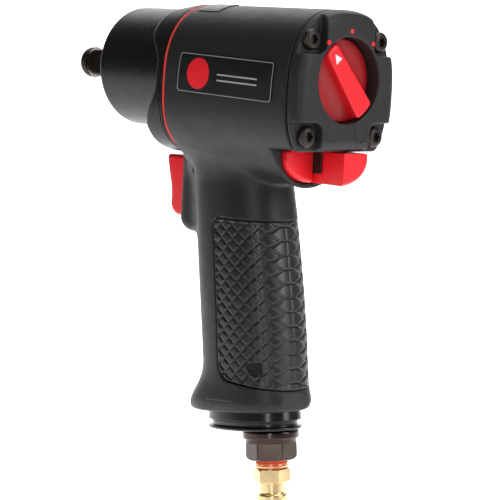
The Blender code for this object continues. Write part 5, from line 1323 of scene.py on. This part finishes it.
INNER_FINISHES = {
    "anvil_bushing": "bronze", "anvil_seal": "nitrile", "cover_gasket": "nitrile", "detent_ball": "steel",
    "detent_spring": "steel", "dial_o_ring": "nitrile", "exhaust_silencer": "felt", "hammer_cage": "steel",
    "hammer_front": "steel", "hammer_rear": "steel", "hammer_pin_left": "steel", "hammer_pin_right": "steel",
    "inlet_o_ring": "nitrile", "inlet_screen": "mesh", "motor_cylinder": "cast", "front_end_plate": "cast",
    "rear_end_plate": "cast", "regulator_valve": "brass", "reverse_bushing": "brass", "reverse_valve": "brass",
    "rotor": "steel", "throttle_bushing": "brass", "throttle_stem": "steel", "tip_valve": "brass",
    "trigger_pin": "dark_steel", "valve_spring": "steel",
}


class WRENCH_OT_inner(bpy.types.Operator):
    """Give each inner piece of the frame its finish"""
    bl_idname = "wrench.inner"
    bl_label = "Inner pieces"

    def execute(self, context):
        for name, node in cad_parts.items():
            kind = INNER_FINISHES.get(name, "composite")
            if name.startswith("vane_"):
                kind = "vane"
            elif "bearing" in name:
                kind = "steel"
            for slot in node.material_slots:
                slot.material = finish_named(kind)
        return {"FINISHED"}


def area_light(name, place, target, size, power):
    """A rectangular soft light aimed at a point."""
    light = bpy.data.lights.new(name, "AREA")
    light.shape = "RECTANGLE"
    light.size, light.size_y = size
    light.energy = power
    made = bpy.data.objects.new(name, light)
    made.location = Vector(place)
    made.rotation_euler = (Vector(target) - Vector(place)).to_track_quat("-Z", "Y").to_euler()
    bpy.context.scene.collection.objects.link(made)
    return made


def set_camera():
    """A long lens behind and to the left of the wrench, nearly level, turned 3 degrees, aimed so that
    the tool stands a little left of the middle and above it."""
    azimuth, elevation, roll = math.radians(VIEW_AZIMUTH_DEG), math.radians(5.13), math.radians(3.0)
    back = Vector((math.sin(azimuth) * math.cos(elevation), -math.cos(azimuth) * math.cos(elevation),
                   math.sin(elevation)))
    target = Vector((0.0, -0.110, -0.060))
    place = target + 0.870 * back
    right = (-back).cross(Vector((0, 0, 1))).normalized()
    up = right.cross(-back)
    turned_right = right * math.cos(roll) + up * math.sin(roll)
    turned_up = up * math.cos(roll) - right * math.sin(roll)
    aim = -back + turned_right * AIM_RIGHT - turned_up * AIM_DOWN
    aim.normalize()
    turned_right = (turned_right - aim * turned_right.dot(aim)).normalized()
    turned_up = turned_right.cross(aim)
    camera = bpy.data.cameras.new("camera")
    camera.sensor_width = 36.0
    camera.lens = LENS_MM
    camera.clip_start, camera.clip_end = 0.02, 20.0
    made = bpy.data.objects.new("camera", camera)
    turn = Matrix((turned_right, turned_up, -aim)).transposed().to_4x4()
    turn.translation = place
    made.matrix_world = turn
    bpy.context.scene.collection.objects.link(made)
    bpy.context.scene.camera = made


def stage_sheet(floor_z):
    """A pale sheet that lies flat, then curves up through a quarter circle into a wall: a profile of
    the distance along the view and the height, carried sideways."""
    t = np.linspace(0, math.pi / 2, 25)
    along = np.concatenate([[-3.0, 0.2], 0.6 + 0.7 * np.sin(t), [1.3]]) * 1000
    rise = np.concatenate([[0.0, 0.0], 0.7 * (1 - np.cos(t)), [3.5]]) * 1000
    across = np.linspace(-3500, 3500, 3)
    middle = np.array([0.0, -110.0])
    flat = middle + along[:, None, None] * VIEW_AWAY + across[None, :, None] * VIEW_SIDE
    height = floor_z + rise[:, None] + 0 * flat[..., 0]
    grid = np.concatenate([flat, height[..., None]], axis=-1)
    rows, columns, _ = grid.shape
    index = np.arange(rows * columns).reshape(rows, columns)
    quads = np.stack([index[:-1, :-1], index[:-1, 1:], index[1:, 1:], index[1:, :-1]], axis=-1).reshape(-1, 4)
    return grid.reshape(-1, 3), quads


def light_up_behind(look):
    """Makes the sheet glow where it stands behind the wrench, fading out to both sides and towards the
    camera: one smooth step on the distance along the view times another on the distance across it."""
    nodes, links = look.node_tree.nodes, look.node_tree.links
    place = nodes.new("ShaderNodeTexCoord")
    faded = []
    for axis, low, high, first, last in ((VIEW_AWAY, -0.45, 0.0, 0.0, 1.0), (VIEW_SIDE, 0.5, 1.1, 1.0, 0.0)):
        dot = nodes.new("ShaderNodeVectorMath")
        dot.operation = "DOT_PRODUCT"
        dot.inputs[1].default_value = (*axis, 0.0)
        links.new(place.outputs["Object"], dot.inputs[0])
        level = dot.outputs["Value"]
        if axis is VIEW_SIDE:
            size = nodes.new("ShaderNodeMath")
            size.operation = "ABSOLUTE"
            links.new(level, size.inputs[0])
            level = size.outputs["Value"]
        fade = ranged(nodes, links, level, first, last, low, high)
        fade.node.interpolation_type = "SMOOTHSTEP"
        faded.append(fade)
    both = nodes.new("ShaderNodeMath")
    both.operation = "MULTIPLY"
    links.new(faded[0], both.inputs[0])
    links.new(faded[1], both.inputs[1])
    glow = nodes["Principled BSDF"]
    glow.inputs["Emission Color"].default_value = (1.0, 1.0, 1.0, 1.0)
    links.new(both.outputs["Value"], glow.inputs["Emission Strength"])


class WRENCH_OT_stage(bpy.types.Operator):
    """Make the pale floor, the soft lights and the camera"""
    bl_idname = "wrench.stage"
    bl_label = "Stage"

    def execute(self, context):
        lowest = CAD_BOX[0][2] / MM
        points, quads = stage_sheet(lowest)
        mesh = bpy.data.meshes.new("floor")
        mesh.from_pydata([tuple(point) for point in (points * MM).tolist()], [], quads.tolist())
        mesh.shade_smooth()
        floor = bpy.data.objects.new("floor", mesh)
        bpy.context.scene.collection.objects.link(floor)
        look = surface_finish("pale_floor", (0.86, 0.86, 0.86), (0.9, 0.9, 0.9), (0.7, 0.8), blotch=3,
                              grain=90, bump=0.02, specular=0.2)
        light_up_behind(look)
        mesh.materials.append(look)
        world = bpy.data.worlds.new("studio")
        world.use_nodes = True
        world.node_tree.nodes["Background"].inputs["Color"].default_value = (1.0, 1.0, 1.0, 1.0)
        world.node_tree.nodes["Background"].inputs["Strength"].default_value = 0.1
        bpy.context.scene.world = world
        middle = (0.0, -0.11, -0.04)
        area_light("key_above", (0.1, -0.45, 1.1), middle, (0.9, 0.9), 7.0)
        area_light("fill_behind", (0.5, -1.3, 0.45), middle, (0.5, 0.9), 7.0)
        area_light("camera_strip", (-0.95, -0.95, 0.25), middle, (0.12, 0.9), 3.4)
        area_light("wall_wash", (1.0, 0.3, 1.6), (1.1, 1.1, 0.2), (1.6, 1.6), 12.0)
        set_camera()
        bpy.context.scene.view_settings.view_transform = "Standard"
        return {"FINISHED"}


# ---------------------------------------------------------------- add-on

class WrenchColours(bpy.types.PropertyGroup):
    """The colours that a maker would change"""
    red: FloatVectorProperty(name="Red", description="Colour of the dial, buttons and trigger", subtype="COLOR",
                             default=(0.90, 0.009, 0.018), min=0.0, max=1.0)
    charcoal: FloatVectorProperty(name="Charcoal", description="Colour of the housing", subtype="COLOR",
                                  default=(0.015, 0.0142, 0.0144), min=0.0, max=1.0)
    brass: FloatVectorProperty(name="Brass", description="Colour of the air plug", subtype="COLOR",
                               default=(0.80, 0.60, 0.32), min=0.0, max=1.0)


class WrenchSizes(bpy.types.PropertyGroup):
    """The sizes that a maker would change"""
    grip_pitch: FloatProperty(name="Grip pitch", description="Height of one diamond of the grip", unit="LENGTH",
                              default=5.9 * MM, min=3.0 * MM, max=12.0 * MM)
    grip_groove: FloatProperty(name="Grip groove", description="Depth of the grip's grooves", unit="LENGTH",
                               default=0.6 * MM, min=0.1 * MM, max=1.2 * MM)
    screw_head: FloatProperty(name="Screw head", description="Radius of a housing screw's head", unit="LENGTH",
                              default=4.35 * MM, min=3.0 * MM, max=5.2 * MM)
    label_long: FloatProperty(name="Label length", description="Length of the side label", unit="LENGTH",
                              default=54.8 * MM, min=30.0 * MM, max=60.0 * MM)
    label_high: FloatProperty(name="Label height", description="Height of the side label", unit="LENGTH",
                              default=16.4 * MM, min=10.0 * MM, max=20.0 * MM)
    mark_radius: FloatProperty(name="Mark radius", description="Radius of the label's round mark", unit="LENGTH",
                               default=6.5 * MM, min=1.0 * MM, max=7.0 * MM)


class WRENCH_PT_panel(bpy.types.Panel):
    """Lists the wrench's colours, sizes and pieces"""
    bl_idname = "WRENCH_PT_panel"
    bl_label = "Impact wrench"
    bl_space_type = "VIEW_3D"
    bl_region_type = "UI"
    bl_category = "Wrench"

    def draw(self, context):
        for group in (context.scene.wrench_colours, context.scene.wrench_sizes):
            for name in type(group).__annotations__:
                self.layout.prop(group, name)
        for operator in OPERATORS:
            self.layout.operator(operator.bl_idname)


OPERATORS = (
    WRENCH_OT_stage, WRENCH_OT_inner, WRENCH_OT_housing, WRENCH_OT_grip, WRENCH_OT_case, WRENCH_OT_drive,
    WRENCH_OT_cover, WRENCH_OT_screws, WRENCH_OT_dial, WRENCH_OT_buttons, WRENCH_OT_trigger, WRENCH_OT_labels,
    WRENCH_OT_deflector, WRENCH_OT_inlet,
)
CLASSES = (WrenchColours, WrenchSizes, *OPERATORS, WRENCH_PT_panel)


def register():
    """Registers the classes and the settings."""
    for item in CLASSES:
        bpy.utils.register_class(item)
    bpy.types.Scene.wrench_colours = PointerProperty(type=WrenchColours)
    bpy.types.Scene.wrench_sizes = PointerProperty(type=WrenchSizes)


def unregister():
    """Removes what register added."""
    del bpy.types.Scene.wrench_sizes
    del bpy.types.Scene.wrench_colours
    for item in reversed(CLASSES):
        bpy.utils.unregister_class(item)


def main():
    """Makes every piece in order."""
    register()
    for operator in OPERATORS:
        group, name = operator.bl_idname.split(".")
        getattr(getattr(bpy.ops, group), name)()


if __name__ == "__main__":
    main()
